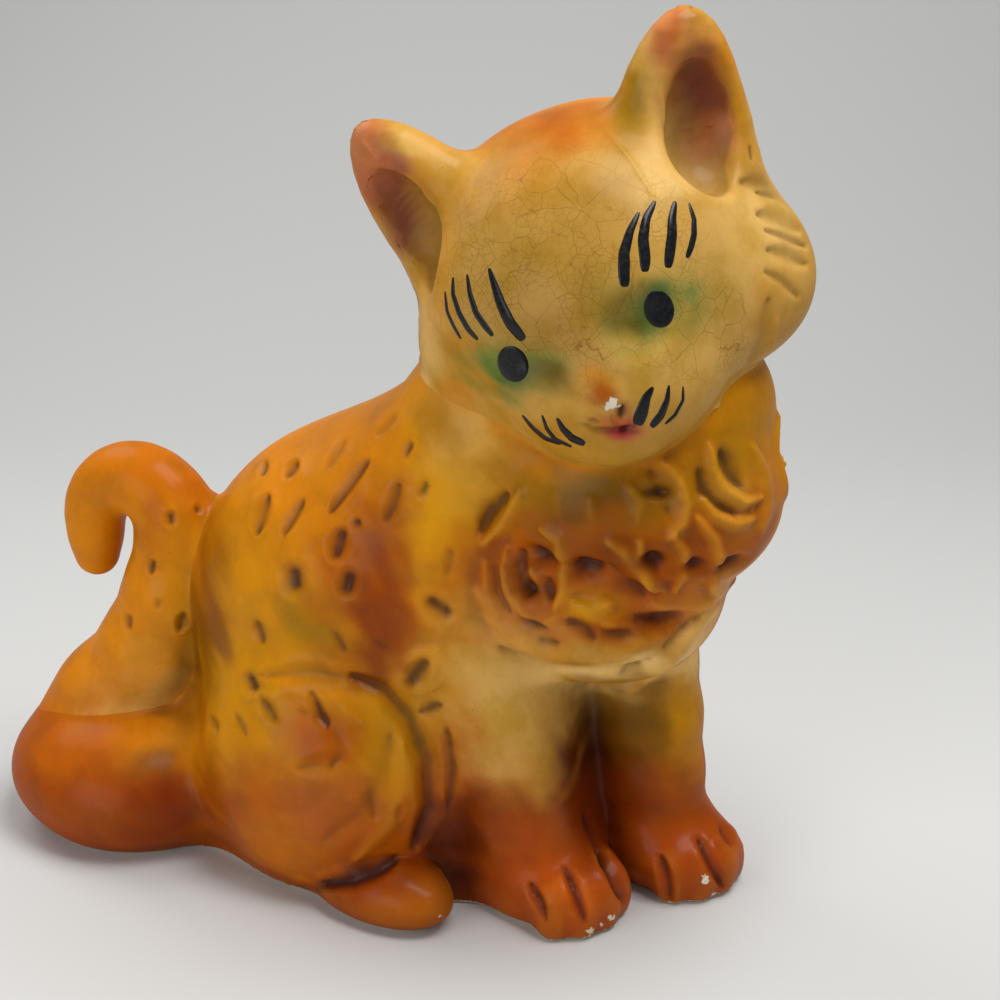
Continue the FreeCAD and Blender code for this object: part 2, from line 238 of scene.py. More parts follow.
def body_field(points):
    """The whole torso casting without its neighbours."""
    whole = tower(points, TRUNK_ROWS)
    for centre, half, attitude, soft in BODY_EGGS:
        whole = join(whole, egg(points, centre, half, attitude), soft)
    for rows in (NEAR_LEG_ROWS, FAR_LEG_ROWS):
        whole = join(whole, limb(points, rows, soft=3), LEG_SOFT)
    for centre, half, attitude, soft in paw_eggs():
        whole = join(whole, egg(points, centre, half, attitude), soft)
    ruff = np.full(len(points), np.inf)
    for centre, half, attitude, soft in RUFF_EGGS:
        ruff = join(ruff, egg(points, centre, half, attitude), soft)
    whole = join(whole, ruff, RUFF_SOFT)
    whole = -join(-whole, points[:, 2], FOOT_SOFT)
    pour_hole = np.maximum(np.hypot(points[:, 0], points[:, 1]) - HOLE_RADIUS, points[:, 2] - HOLE_DEPTH)
    return np.maximum(whole, -pour_hole)


print("the body has", len(BODY_EGGS) + len(RUFF_EGGS) + len(paw_eggs()), "eggs and 2 legs")

# %% [markdown]
# ## The head
# The head is worked in its own frame: x to its left, y to its back, z up. The face is a skull, a
# muzzle and two cheeks; each ear stands on a tower of ovals and is scooped out at the front.

# %% The head's masses
HEAD_PLACE = np.array((64.2, -8.0, 201.2))
HEAD_ATTITUDE = turned(yaw=14.8, pitch=10.2, roll=-20.8)
# Centre, half sizes and soft width, in the head's frame
FACE_EGGS = (
    ((0, 2.5, -0.9), (49, 50, 44), 1),
    ((0, -23.5, -8.8), (22.5, 27.4, 27.3), 14),
    ((0, -28, -25), (26.5, 25, 18), 14),
    ((32, 4, -17), (26, 30, 24), 12),
    ((-32, 4, -17), (26, 30, 24), 12),
    ((0, -50.5, -16.3), (5.5, 4.0, 4.0), 4),
    ((0, -46.0, -30.5), (9.8, 6.5, 6.0), 6),
)
SOCKET_PLACE = (20.5, -52.0, 0.0)
SOCKET_HALF = (14.0, 8.5, 9.0)
SOCKET_SOFT = 5
EAR_ROOT = (28.9, 2.9, 12.3)
EAR_LEAN, EAR_YAW = 21, 28
EAR_ROWS = (
    (-14.7, -25, 25, 17, 0), (8.8, -23, 23, 14.5, 0), (18.6, -20.8, 20.8, 12.8, 0), (27, -18, 18, 11, 0),
    (34.3, -15, 15, 9.5, 0), (40.2, -11.8, 11.8, 7.7, 0), (44.6, -8.5, 8.5, 5.6, 0),
    (47.5, -5, 5, 3.6, 0), (49, -1.8, 1.8, 1.4, 0),
)
EAR_SOFT = 8
EAR_SCOOP = ((1, -17, 24), (12.5, 15, 20.5))
SCOOP_SOFT = 3.5


def ear_places(head_points, side):
    """Points of the head's frame in the frame of an ear, mirrored so that both ears read alike."""
    attitude = turned(roll=side * EAR_LEAN) @ turned(yaw=side * EAR_YAW)
    root = np.array(EAR_ROOT) * (side, 1, 1)
    return (head_points - root) @ attitude * (side, 1, 1)


def head_field(points):
    """The whole head casting without its neck."""
    own = (points - HEAD_PLACE) @ HEAD_ATTITUDE
    whole = np.full(len(points), np.inf)
    for centre, half, soft in FACE_EGGS:
        whole = join(whole, egg(own, centre, half), soft)
    for side in (1, -1):
        place = np.array(SOCKET_PLACE) * (side, 1, 1)
        whole = hollow(whole, egg(own, place, SOCKET_HALF), SOCKET_SOFT)
        in_ear = ear_places(own, side)
        whole = join(whole, tower(in_ear, EAR_ROWS), EAR_SOFT)
        whole = hollow(whole, egg(in_ear, *EAR_SCOOP), SCOOP_SOFT)
    return whole


print("the head has", len(FACE_EGGS), "eggs and 2 ears of", len(EAR_ROWS), "ovals")

# %% [markdown]
# ## The tail
# The tail stands up out of the rump, leans forward, rises, and arches back over to a blunt tip.
# Its line is a run of arcs and straights in one upright plane.

# %% The tail's masses
TAIL_ROOT = (-114.6, -6.0, 17.9)
# How far each stretch turns, in degrees, and its radius, or its length where it doesn't turn
TAIL_MOVES = ((-48, 30), (0, 7), (48, 80), (180, 15.5), (0, 13))
TAIL_STEP = 20
TAIL_RADIUS = 14
TAIL_GIRTHS = (
    (0, 1.00), (0.18, 1.20), (0.35, 1.24), (0.54, 1.08), (0.68, 0.82), (0.80, 0.69), (0.92, 0.60), (1, 0.50),
)


def tail_rows():
    """The tail's middle line with its radius at each step."""
    place, heading, travelled = np.array(TAIL_ROOT), 90.0, 0.0
    line = [(place, 0.0)]
    for turn, size in TAIL_MOVES:
        steps = max(2, math.ceil(abs(turn) / TAIL_STEP))
        chord = size / steps if turn == 0 else 2 * size * abs(math.sin(math.radians(turn / steps / 2)))
        for _ in range(steps):
            way = math.radians(heading + turn / steps / 2)
            place = place + chord * np.array((math.cos(way), 0, math.sin(way)))
            heading += turn / steps
            travelled += chord
            line.append((place, travelled))
    shares, girths = zip(*TAIL_GIRTHS)
    return [(*p, TAIL_RADIUS * float(np.interp(t / travelled, shares, girths))) for p, t in line]


TAIL_ROWS = tail_rows()


def tail_field(points):
    """The whole tail casting."""
    return limb(points, TAIL_ROWS, soft=4)


print("the tail has", len(TAIL_ROWS), "rounds")

# %% [markdown]
# ## The joints between the castings
# Fresh plaster is wiped into each joint, so the skin runs on over it without a step. Each casting's
# skin follows the common surface, then dips under its neighbour's just past the joint.

# %% The skins
LAP_SLOPE = 0.12
LAP_START = 1.0
LAP_REACH = 4.0
NECK_SOFT, TAIL_SOFT = 3, 5


def lapped(own, other, together):
    """The common surface on a casting's own side of a joint, dipping under past it."""
    return np.maximum(together + LAP_SLOPE * np.maximum(own - other + LAP_START, 0), own - LAP_REACH)


def torso_skin(points):
    body, head, tail = body_field(points), head_field(points), tail_field(points)
    together = join(join(body, head, NECK_SOFT), tail, TAIL_SOFT)
    return lapped(body, np.minimum(head, tail), together)


def head_skin(points):
    body, head = body_field(points), head_field(points)
    return lapped(head, body, join(body, head, NECK_SOFT))


def tail_skin(points):
    body, tail = body_field(points), tail_field(points)
    return lapped(tail, body, join(body, tail, TAIL_SOFT))


# %% [markdown]
# ## From blocks to one skin
# Balls are set on every mass and fused by the Remesh modifier into one closed mesh of even
# squares. Its points are then drawn onto the soft surface, like clay smoothed over an armature.

# %% Blocks and skins
BALL_DETAIL = 3
DRUM_SIDES, DRUM_LAP = 48, 1
PULL_STEPS = 6
PULL_LIMIT = 2.5
PROBE = 0.05
LEAST_STEEPNESS = 0.1


def object_of(form, name):
    """Makes an object of a bmesh and puts it in the scene."""
    mesh = bpy.data.meshes.new(name)
    form.to_mesh(mesh)
    form.free()
    made = bpy.data.objects.new(name, mesh)
    bpy.context.scene.collection.objects.link(made)
    return made


def set_ball(form, centre, half, attitude=np.eye(3)):
    """A ball stretched and placed as an egg."""
    place = Matrix.Translation(Vector(centre)) @ Matrix(attitude.tolist()).to_4x4()
    place = place @ Matrix.Diagonal(Vector((*half, 1)))
    bmesh.ops.create_icosphere(form, subdivisions=BALL_DETAIL, radius=1, matrix=place)


def set_limb(form, rows):
    """Balls along a limb, with one more between each two rows."""
    for first, second in zip(rows, rows[1:]):
        for share in (0, 0.5, 1):
            x, y, z, radius = np.array(first) + share * np.subtract(second, first)
            set_ball(form, (x, y, z), (radius,) * 3)


def set_tower(form, rows, root=np.zeros(3), attitude=np.eye(3)):
    """Drums up a tower, one between each two rows."""
    drum = {"cap_ends": True, "segments": DRUM_SIDES, "radius1": 1, "radius2": 1, "depth": 1}
    for (base, *lower), (top, *upper) in zip(rows, rows[1:]):
        low, high, width, shift = (np.array(lower) + np.array(upper)) / 2
        centre = root + attitude @ np.array(((low + high) / 2, shift, (base + top) / 2))
        place = Matrix.Translation(Vector(centre)) @ Matrix(attitude.tolist()).to_4x4()
        place = place @ Matrix.Diagonal(Vector(((high - low) / 2, width, top - base + DRUM_LAP, 1)))
        bmesh.ops.create_cone(form, matrix=place, **drum)


def torso_blocks(form):
    """Blocks for the torso: its eggs, its legs and its trunk."""
    for centre, half, attitude, _ in (*BODY_EGGS, *RUFF_EGGS, *paw_eggs()):
        set_ball(form, centre, half, attitude)
    set_limb(form, NEAR_LEG_ROWS)
    set_limb(form, FAR_LEG_ROWS)
    set_tower(form, TRUNK_ROWS)


def head_blocks(form):
    """Blocks for the head, with balls up each ear."""
    for centre, half, _ in FACE_EGGS:
        set_ball(form, HEAD_PLACE + HEAD_ATTITUDE @ np.array(centre), half, HEAD_ATTITUDE)
    for side in (1, -1):
        attitude = HEAD_ATTITUDE @ turned(roll=side * EAR_LEAN) @ turned(yaw=side * EAR_YAW)
        root = HEAD_PLACE + HEAD_ATTITUDE @ (np.array(EAR_ROOT) * (side, 1, 1))
        set_tower(form, EAR_ROWS, root, attitude)


def tail_blocks(form):
    """Blocks for the tail."""
    set_limb(form, TAIL_ROWS)


def fused(name, blocks, square):
    """One closed mesh of even squares round the blocks."""
    form = bmesh.new()
    blocks(form)
    piece = object_of(form, name)
    remesh = piece.modifiers.new("skin", "REMESH")
    remesh.mode = "VOXEL"
    remesh.voxel_size = square
    bpy.context.view_layer.objects.active = piece
    bpy.ops.object.modifier_apply(modifier="skin")
    return piece


def points_of(piece):
    """The piece's points as an array."""
    flat = np.empty(len(piece.data.vertices) * 3)
    piece.data.vertices.foreach_get("co", flat)
    return flat.reshape(-1, 3)


def set_points(piece, points):
    """Moves the piece's points."""
    piece.data.vertices.foreach_set("co", points.ravel())
    piece.data.update()


def slope_of(field, points, values):
    """How fast a field grows along x, y and z at each point."""
    return np.stack([(field(points + PROBE * axis) - values) / PROBE for axis in np.eye(3)], 1)


def draw_onto(field, points, steps=PULL_STEPS):
    """The points drawn onto the surface where the field is zero, and the outward directions there."""
    for _ in range(steps):
        values = field(points)
        slopes = slope_of(field, points, values)
        steep = np.maximum((slopes ** 2).sum(1), LEAST_STEEPNESS)
        move = np.clip(values / steep, -PULL_LIMIT, PULL_LIMIT)
        points = points - move[:, None] * slopes
    slopes = slope_of(field, points, field(points))
    return points, slopes / np.maximum(np.linalg.norm(slopes, axis=1), 1e-6)[:, None]


def refine(piece, wanted):
    """Cuts each square in four where wanted says so of its corners."""
    form = bmesh.new()
    form.from_mesh(piece.data)
    form.verts.ensure_lookup_table()
    edges = [e for e in form.edges if wanted[e.verts[0].index] and wanted[e.verts[1].index]]
    bmesh.ops.subdivide_edges(form, edges=edges, cuts=1, use_grid_fill=True)
    form.to_mesh(piece.data)
    form.free()


TORSO_SQUARE, HEAD_SQUARE, TAIL_SQUARE = ((1.6, 0.9, 1.2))
torso = fused("torso", torso_blocks, TORSO_SQUARE)
head = fused("head", head_blocks, HEAD_SQUARE)
tail = fused("tail", tail_blocks, TAIL_SQUARE)
for piece in (torso, head, tail):
    print(piece.name, "has", len(piece.data.vertices), "points")

# %% [markdown]
# ## Two sides from one photograph
# The camera sees one side only. A mould maker repeats the fur and the painter the spraying on
# the other side, so each point also looks up its mirror image, and takes whichever side of the
# figure the camera faces more squarely.

# %% Seen and mirrored places
FACING_FROM, FACING_TO = 0.05, 0.30


def smooth(values, low, high):
    """A soft step from 0 to 1 between two values."""
    share = np.clip((values - low) / (high - low), 0, 1)
    return share * share * (3 - 2 * share)


def facing(points, outward):
    """How squarely the camera faces each point, from 0 to 1."""
    towards = CAMERA_PLACE - points
    towards = towards / np.linalg.norm(towards, axis=1)[:, None]
    return smooth((outward * towards).sum(1), FACING_FROM, FACING_TO)


def both_sides(points, outward, middle, across):
    """Photo places and weights of the points and of their mirror images in the plane of symmetry."""
    seen = facing(points, outward)
    flipped = points - 2 * ((points - middle) @ across)[:, None] * across
    flipped_out = outward - 2 * (outward @ across)[:, None] * across
    unseen = (1 - seen) * facing(flipped, flipped_out)
    return ((photo_places(points), seen), (photo_places(flipped), unseen))


BODY_MIDDLE = np.array((0.0, 4.0, 0.0))
SIDEWAYS = np.array((0.0, 1.0, 0.0))


def torso_sides(points, outward):
    return both_sides(points, outward, BODY_MIDDLE, SIDEWAYS)


def ruff_sides(points, outward):
    return both_sides(points, outward, np.array(RUFF_EGGS[0][0]), SIDEWAYS)


def head_sides(points, outward):
    return both_sides(points, outward, HEAD_PLACE, HEAD_ATTITUDE[:, 0])


def tail_sides(points, outward):
    return both_sides(points, outward, np.array(TAIL_ROOT), SIDEWAYS)


print("the figure is mirrored at y =", BODY_MIDDLE[1], "mm, and its ruff at y =", RUFF_EGGS[0][0][1], "mm")

# %% [markdown]
# ## The fur
# Each stroke is a line in the photograph's pixels with a half width, a depth in millimetres, the
# height of the rim that the tool raised beside it, and how much painted shade darkens its floor. A
# stroke with a depth below zero is a ridge, and one with painted shade below zero gets a painted
# highlight along its top instead.

# %% Strokes of the modelling tool
RUFF_STROKES = (
    # The left teardrop and its bright ridge
    (9, 2.4, 0.0, 0.55, ((482, 530), (490, 512), (504, 496))),
    (7, -2.2, 0.0, -0.7, ((484, 542), (502, 524), (516, 504), (521, 492))),
    # The three hanging locks of the left cheek of the ruff
    (7, -2.0, 0.0, -0.4, ((508, 548), (505, 570), (511, 594), (528, 614))),
    (8, 2.0, 0.0, 0.5, ((522, 552), (521, 575), (527, 596))),
    (7, -2.2, 0.0, -0.6, ((542, 528), (560, 540), (567, 562), (566, 588), (556, 608))),
    (6, -1.6, 0.0, -0.3, ((534, 566), (536, 586), (546, 600))),
    (7, 1.6, 0.0, 0.5, ((549, 580), (551, 596))),
    (6, -1.6, 0.0, -0.3, ((526, 618), (546, 624), (560, 614))),
    (6, -1.8, 0.0, -0.3, ((486, 560), (488, 590), (502, 618))),
    (5, 1.2, 0.0, 0.3, ((496, 566), (498, 590), (510, 612))),
    # The lobe under the middle pit, and the hooks between the right pits
    (9, -2.2, 0.0, -0.6, ((576, 603), (592, 608), (610, 600))),
    (6, -1.8, 0.0, -0.4, ((606, 540), (624, 550), (638, 568), (656, 586))),
    (7, 1.4, 0.0, 0.4, ((610, 566), (626, 580), (644, 594))),
    (6, -1.8, 0.0, -0.5, ((640, 540), (641, 562), (650, 580), (664, 588))),
    (6, -1.8, 0.0, -0.5, ((674, 536), (684, 552), (684, 572), (674, 588))),
    (6, -1.8, 0.0, -0.6, ((697, 518), (714, 540), (718, 562), (712, 588))),
    # The lumps of the rust band
    (13, -2.0, 0.0, -0.4, ((655, 602), (685, 604), (704, 596))),
    (7, 1.6, 0.0, 0.5, ((636, 616), (664, 626), (698, 616))),
    (9, -1.6, 0.0, -0.3, ((604, 622), (620, 632), (642, 636))),
    (7, 1.8, 0.0, 0.5, ((566, 622), (584, 628), (594, 640))),
    (6, 1.4, 0.0, 0.6, ((540, 640), (556, 644))),
    # The curls from the chin to the right shoulder
    (7, -2.2, 0.0, -0.7, ((664, 462), (678, 480), (686, 505), (682, 524), (668, 537))),
    (7, 1.2, 0.0, 0.2, ((650, 470), (664, 492), (668, 512))),
    (7, -2.4, 0.0, -0.8, ((708, 446), (711, 470), (722, 490), (742, 503), (757, 498))),
    (8, 2.0, 0.0, 0.5, ((722, 452), (730, 470), (742, 486))),
    (7, -2.0, 0.0, -0.6, ((704, 498), (716, 516), (734, 524), (752, 518))),
    (7, 1.8, 0.0, 0.5, ((700, 470), (704, 490), (716, 504), (734, 513))),
    (7, -1.6, 0.0, -0.5, ((752, 446), (764, 476), (766, 506), (760, 530))),
    (6, -1.2, 0.0, -0.3, ((630, 486), (640, 502), (638, 520))),
    (6, -0.8, 0.0, -0.2, ((590, 496), (592, 520))),
    (6, -0.8, 0.0, -0.2, ((556, 492), (560, 512))),
    # The step down to the lower tier, and the folds on it
    (8, -1.6, 0.0, -0.4, (
        (478, 590), (494, 620), (520, 644), (566, 656), (617, 655), (663, 632), (705, 600), (732, 580),
    )),
    (7, 1.4, 0.0, 0.15, ((500, 648), (545, 668), (592, 674), (640, 668))),
    (6, -1.4, 0.0, -0.5, ((628, 692), (668, 664), (694, 630), (716, 600))),
    (5, 1.2, 0.0, 0.2, ((622, 676), (652, 660))),
    (5, 1.2, 0.0, 0.2, ((664, 650), (688, 624))),
)
FLANK_STROKES = (
    (4, 0.9, 0.4, 0.6, ((266, 464), (262, 474))),
    (5, 1.0, 0.4, 0.7, ((297, 463), (287, 476))),
    (6, 1.2, 0.5, 0.6, ((268, 496), (262, 515), (257, 534))),
    (5, 1.1, 0.5, 0.5, ((303, 500), (293, 518), (284, 534))),
    (9, 1.6, 0.5, 0.9, ((293, 574), (294, 584))),
    (5, 1.2, 0.5, 0.5, ((368, 460), (350, 485), (330, 512))),
    (8, 1.5, 0.7, 0.7, ((341, 534), (336, 554))),
    (4, 1.0, 0.4, 0.9, ((357, 523), (357, 524))),
    (7, 1.5, 0.7, 0.9, ((349, 578), (347, 588))),
    (6, 1.0, 0.4, 0.5, ((399, 482), (393, 505), (386, 520))),
    (4, 1.0, 0.3, 0.6, ((412, 440), (406, 455))),
    (4, 0.6, 0.3, 0.3, ((396, 415), (378, 435))),
    (4, 0.6, 0.3, 0.3, ((345, 440), (328, 468))),
    (5, 0.9, 0.3, 0.5, ((426, 484), (423, 492))),
    (6, 1.0, 0.4, 0.5, ((256, 622), (263, 642))),
    (5, 0.8, 0.4, 0.4, ((334, 632), (345, 652))),
    (6, 1.2, 0.4, 0.8, ((251, 679), (254, 686))),
    (5, 1.0, 0.5, 0.4, ((262, 696), (276, 722))),
    (5, 1.2, 0.5, 0.7, ((312, 692), (320, 712), (328, 728))),
    (4, 0.8, 0.3, 0.5, ((211, 716), (217, 728))),
    (4, 0.7, 0.3, 0.4, ((236, 714), (246, 735))),
    (8, 1.2, 0.6, 0.7, ((432, 602), (446, 612))),
    (8, 1.3, 0.7, 0.6, ((412, 680), (424, 664))),
    (4, -1.0, 0.0, 0.0, ((404, 664), (420, 650), (440, 652), (448, 668), (440, 684), (418, 694))),
    (6, 1.0, 0.4, 0.5, ((420, 712), (442, 704))),
    (4, 0.6, 0.3, 0.3, ((372, 640), (388, 650))),
    (5, 0.7, 0.4, 0.2, ((452, 545), (448, 575))),
    (4, 0.5, 0.3, 0.3, ((400, 806), (398, 815))),
)
HAUNCH_STROKES = (
    # The crease round the thigh, the fold of the knee and the slot over the foot
    (9, 2.4, 0.5, 0.35, ((352, 676), (384, 690), (410, 718), (427, 760), (430, 808), (414, 846))),
    (9, -1.2, 0.0, -0.35, ((402, 740), (402, 790), (388, 826), (356, 858))),
    (10, 1.0, 0.0, 0.15, ((390, 735), (384, 780), (362, 815), (325, 840))),
    (7, -0.8, 0.0, -0.3, ((250, 700), (290, 690), (335, 700), (362, 722))),
    (7, 0.7, 0.0, 0.2, ((300, 712), (330, 722), (344, 748), (330, 768))),
    (6, 0.8, 0.3, 0.1, ((262, 676), (310, 672), (352, 680))),
    (9, 1.0, 0.3, 0.1, ((300, 768), (340, 764), (368, 790), (374, 816))),
    (8, 2.4, 0.3, 0.9, ((322, 884), (352, 880), (378, 868), (396, 858))),
    (5, 1.2, 0.3, 0.4, ((446, 728), (452, 770), (448, 806))),
)
PAW_STROKES = (
    (5, 2.2, 0.5, 0.6, ((566, 868), (574, 888), (585, 922))),
    (5, 2.2, 0.5, 0.6, ((598, 850), (612, 872), (624, 900))),
    (4.5, 1.8, 0.4, 0.6, ((530, 884), (538, 900), (545, 920))),
    (4, 1.2, 0.3, 0.4, ((585, 815), (596, 842), (606, 866))),
    (5, 2.0, 0.4, 0.6, ((660, 856), (666, 878), (671, 904))),
    (5, 2.0, 0.4, 0.6, ((699, 838), (710, 860), (722, 886))),
    (4, 1.2, 0.3, 0.4, ((720, 826), (731, 844))),
)
TAIL_STROKES = (
    (4, 0.9, 0.4, 0.8, ((171, 516), (171, 522))),
    (4, 0.8, 0.4, 0.7, ((153, 562), (151, 572))),
    (4, 0.8, 0.4, 0.6, ((129, 618), (129, 626))),
    (5, 0.9, 0.5, 0.6, ((184, 615), (180, 628))),
    (3, 0.6, 0.3, 0.6, ((198, 508), (198, 511))),
    (3, 0.5, 0.3, 0.4, ((158, 602), (158, 607))),
)
FACE_STROKES = (
    # The folds of the cheek tuft, the mould's ridges, the nostrils and the mouth
    (8, 1.0, 0.0, 0.4, ((742, 182), (762, 184), (784, 192))),
    (4, 0.8, 0.0, 0.5, ((758, 192), (776, 196), (794, 206))),
    (9, 1.3, 0.0, 0.35, ((760, 214), (782, 218), (804, 228))),
    (4, 0.9, 0.0, 0.5, ((766, 230), (786, 236), (806, 246))),
    (8, 1.2, 0.0, 0.3, ((770, 250), (790, 256), (806, 264))),
    (5, 0.8, 0.0, 0.25, ((766, 272), (784, 282), (798, 296))),
    (3, -0.7, 0.0, 0.0, ((777, 319), (770, 350), (762, 368), (735, 395), (706, 411))),
    (6, 0.9, 0.0, 0.2, ((770, 300), (762, 340), (748, 366))),
    (2.5, -0.5, 0.0, 0.0, ((608, 134), (620, 148), (631, 161), (640, 175), (653, 196))),
    (4, 1.2, 0.4, 0.8, ((623, 408), (621, 416))),
    (3, 0.8, 0.3, 0.4, ((590, 421), (597, 423))),
    (3, 0.9, 0.4, 0.3, ((580, 423), (596, 430), (614, 431), (626, 428), (637, 426))),
    (3, 0.8, 0.2, 0.4, ((621, 431), (630, 430))),
    (3, 0.5, 0.2, 0.2, ((612, 414), (618, 428))),
    (10, 0.8, 0.0, 0.0, ((552, 372), (558, 384))),
    (2, -0.5, 0.0, 0.0, ((362, 140), (375, 157), (392, 170), (408, 185), (420, 205), (430, 225), (434, 237))),
    (3, -0.6, 0.0, 0.0, ((663, 60), (659, 90), (664, 125))),
    (3, -0.8, 0.0, 0.0, ((705, 155), (715, 148), (722, 133), (710, 122))),
    (1.5, 0.5, 0.0, 0.8, ((750, 145), (752, 160))),
)


# A stroke reaches so many half widths, its rim stands at some half widths from its line and is
# as wide as a share of one, and its ends taper when it is long for its width
STROKE_REACH = 4
RIM_PLACE, RIM_WIDTH = 1.9, 0.7
TAPER, TAPER_FROM_TO, TAPER_POWER = 0.6, (1, 4), 3
# How strongly a stroke's painted shade, or below zero its painted highlight, shows
FLOOR_SHADING_SHARE = 0.85
# A stroke is pressed in only where the camera faces the skin this squarely
RELIEF_WEIGHTS = (0.45, 1.0)

# The pits of the ruff's upper and lower steps: height on the egg as a share of its half height,
# the angle from the chest's front, and shares of a pit's length and of its height and depth
UPPER_PITS = (
    (0.38, 68, 0.64, 0.50), (-0.24, 32, 0.95, 0.80), (-0.22, 49, 0.72, 0.70),
    (-0.23, 65, 0.76, 1.00), (-0.43, 88, 1.00, 1.00), (-0.47, 108, 0.80, 0.80),
)
LOWER_PITS = (
    (-0.01, 43, 1.15, 0.60), (-0.15, 67, 0.90, 0.65), (0.17, 107, 0.80, 0.75), (-0.17, 107, 0.85, 0.65),
)
# Half the length and half the height of a whole pit, and its depth; the height of its rim
PIT_HALF = np.array((7.0, 4.0, 4.0))
PIT_RIM, PIT_REACH = 0.5, 12
# Where a pit's wall, the painted shade on its floor and its rim stand, as shares of its half sizes
PIT_WALL, PIT_SHADE = (0.2, 1.35), (0.1, 1.1)
PIT_RIM_PLACE, PIT_RIM_WIDTH = 1.7, 0.4


def near_line(places, line):
    """How far each photo place is from a line of pixels, and how far along it, and the line's length."""
    nearest, along, travelled = np.full(len(places), np.inf), np.zeros(len(places)), 0.0
    corners = np.array(line, float)
    for start, end in zip(corners, corners[1:]):
        reach = end - start
        share = np.clip((places - start) @ reach / (reach @ reach), 0, 1)
        away = np.linalg.norm(places - start - share[:, None] * reach, axis=1)
        along = np.where(away < nearest, travelled + share * np.linalg.norm(reach), along)
        nearest = np.minimum(nearest, away)
        travelled += np.linalg.norm(reach)
    return nearest, along / travelled, travelled


def press(sides, strokes):
    """The height that the strokes give each point, and the painted shade in their floors, below zero a
    painted highlight on their tops.
    """
    height, light_and_shade = np.zeros(len(sides[0][1])), np.zeros(len(sides[0][1]))
    for half_width, depth, rim, floor_shading, line in strokes:
        reach = STROKE_REACH * half_width
        low, high = np.min(line, 0) - reach, np.max(line, 0) + reach
        for places, weight in sides:
            near = np.flatnonzero(((places > low) & (places < high)).all(1) & (weight > 0))
            away, share, length = near_line(places[near], line)
            point = TAPER * smooth(length / half_width, *TAPER_FROM_TO) * np.abs(2 * share - 1) ** TAPER_POWER
            away = away / (half_width * (1 - point))
            floor = np.exp(-away ** 2)
            square_on = smooth(weight[near], *RELIEF_WEIGHTS)
            edge = np.exp(-((away - RIM_PLACE) / RIM_WIDTH) ** 2)
            height[near] += square_on * (rim * edge - depth * floor)
            light_and_shade[near] += FLOOR_SHADING_SHARE * floor_shading * floor * weight[near]
    return height, light_and_shade


def press_pits(points):
    """The height that the ruff's pits give each point, and the painted shade in their floors."""
    height, pit_shade = np.zeros(len(points)), np.zeros(len(points))
    for (centre, half, attitude, _), pits in ((RUFF_EGGS[1], UPPER_PITS), (RUFF_EGGS[0], LOWER_PITS)):
        for level, angle, long, deep in pits:
            for turn in (math.radians(angle), math.radians(-angle)):
                ring = math.sqrt(1 - level ** 2)
                unit = np.array((ring * math.cos(turn), ring * math.sin(turn), level))
                out = attitude @ (unit / np.array(half))
                out = out / np.linalg.norm(out)
                aside = np.cross((0, 0, 1), out)
                aside = aside / np.linalg.norm(aside)
                offset = points - (np.array(centre) + attitude @ (unit * np.array(half)))
                across = offset @ aside / (PIT_HALF[0] * long)
                up = offset @ np.cross(out, aside) / (PIT_HALF[1] * deep)
                away = np.hypot(across, up)
                near = np.abs(offset @ out) < PIT_REACH
                height -= near * PIT_HALF[2] * deep * (1 - smooth(away, *PIT_WALL))
                height += near * PIT_RIM * deep * np.exp(-((away - PIT_RIM_PLACE) / PIT_RIM_WIDTH) ** 2)
                # Painted shade on the pit's floor
                pit_shade = np.maximum(pit_shade, near * deep * (1 - smooth(away, *PIT_SHADE)))
    return height, pit_shade


BODY_STROKES = FLANK_STROKES + HAUNCH_STROKES + PAW_STROKES
ALL_STROKES = (RUFF_STROKES, BODY_STROKES, TAIL_STROKES, FACE_STROKES)
print("strokes on the ruff, body, tail and face:", [len(rows) for rows in ALL_STROKES])

# %% [markdown]
# ## Pressing the fur in
# Each skin is drawn onto its soft surface and marked once to see where the marks fall. Its squares
# are cut in four there, so that a mark of 3 mm stays crisp, and the marks are pressed in.

# %% Pressing
MARKED_FROM = 0.06
SOFT_ROUNDS = 2
# Painted shade darkens the skin where it lies this far, in millimetres, below the mean of its
# surroundings, and a painted highlight lightens it where it stands out by as much
HOLLOW_ROUNDS = 24
HOLLOW_SHADE_FROM_TO, HOLLOW_SHADE_SHARE = (0.08, 0.60), 0.40
BUMP_HIGHLIGHT_FROM_TO, BUMP_HIGHLIGHT_SHARE = (0.30, 1.00), 0.25
# The waves of a hand-made mould: how fast each runs along x, y and z, and where it starts
UNEVEN_HEIGHT, UNEVEN_LENGTH = 0.12, 9
UNEVEN_WAVES = (((1, 1.7, 0), 0), ((0, -1, 1.3), 0), ((1.1, 0, -1), 0.6))
# The heights over which the foot stays flat
FLAT_FROM_TO = (0.3, 3.0)


def torso_marks(points, outward):
    """The marks on the torso: the ruff's strokes and pits, and the strokes on the rest."""
    return (
        press(ruff_sides(points, outward), RUFF_STROKES),
        press_pits(points),
        press(torso_sides(points, outward), BODY_STROKES),
    )


def head_marks(points, outward):
    return (press(head_sides(points, outward), FACE_STROKES),)


def tail_marks(points, outward):
    return (press(tail_sides(points, outward), TAIL_STROKES),)


def softened(piece, values, rounds=SOFT_ROUNDS):
    """Averages a value over neighbouring points, so that no mark leaves a burr."""
    ends = np.empty(len(piece.data.edges) * 2, dtype=int)
    piece.data.edges.foreach_get("vertices", ends)
    first, second = ends.reshape(-1, 2).T
    count = np.bincount(ends, minlength=len(values))
    for _ in range(rounds):
        total = np.bincount(first, values[second], len(values))
        total += np.bincount(second, values[first], len(values))
        values = (values + total / count) / 2
    return values


def hollowness(piece, outward):
    """How far, in millimetres, each point lies below the mean of the skin round it."""
    points = points_of(piece)
    mean = np.stack([softened(piece, points[:, i], HOLLOW_ROUNDS) for i in range(3)], 1)
    return ((mean - points) * outward).sum(1)


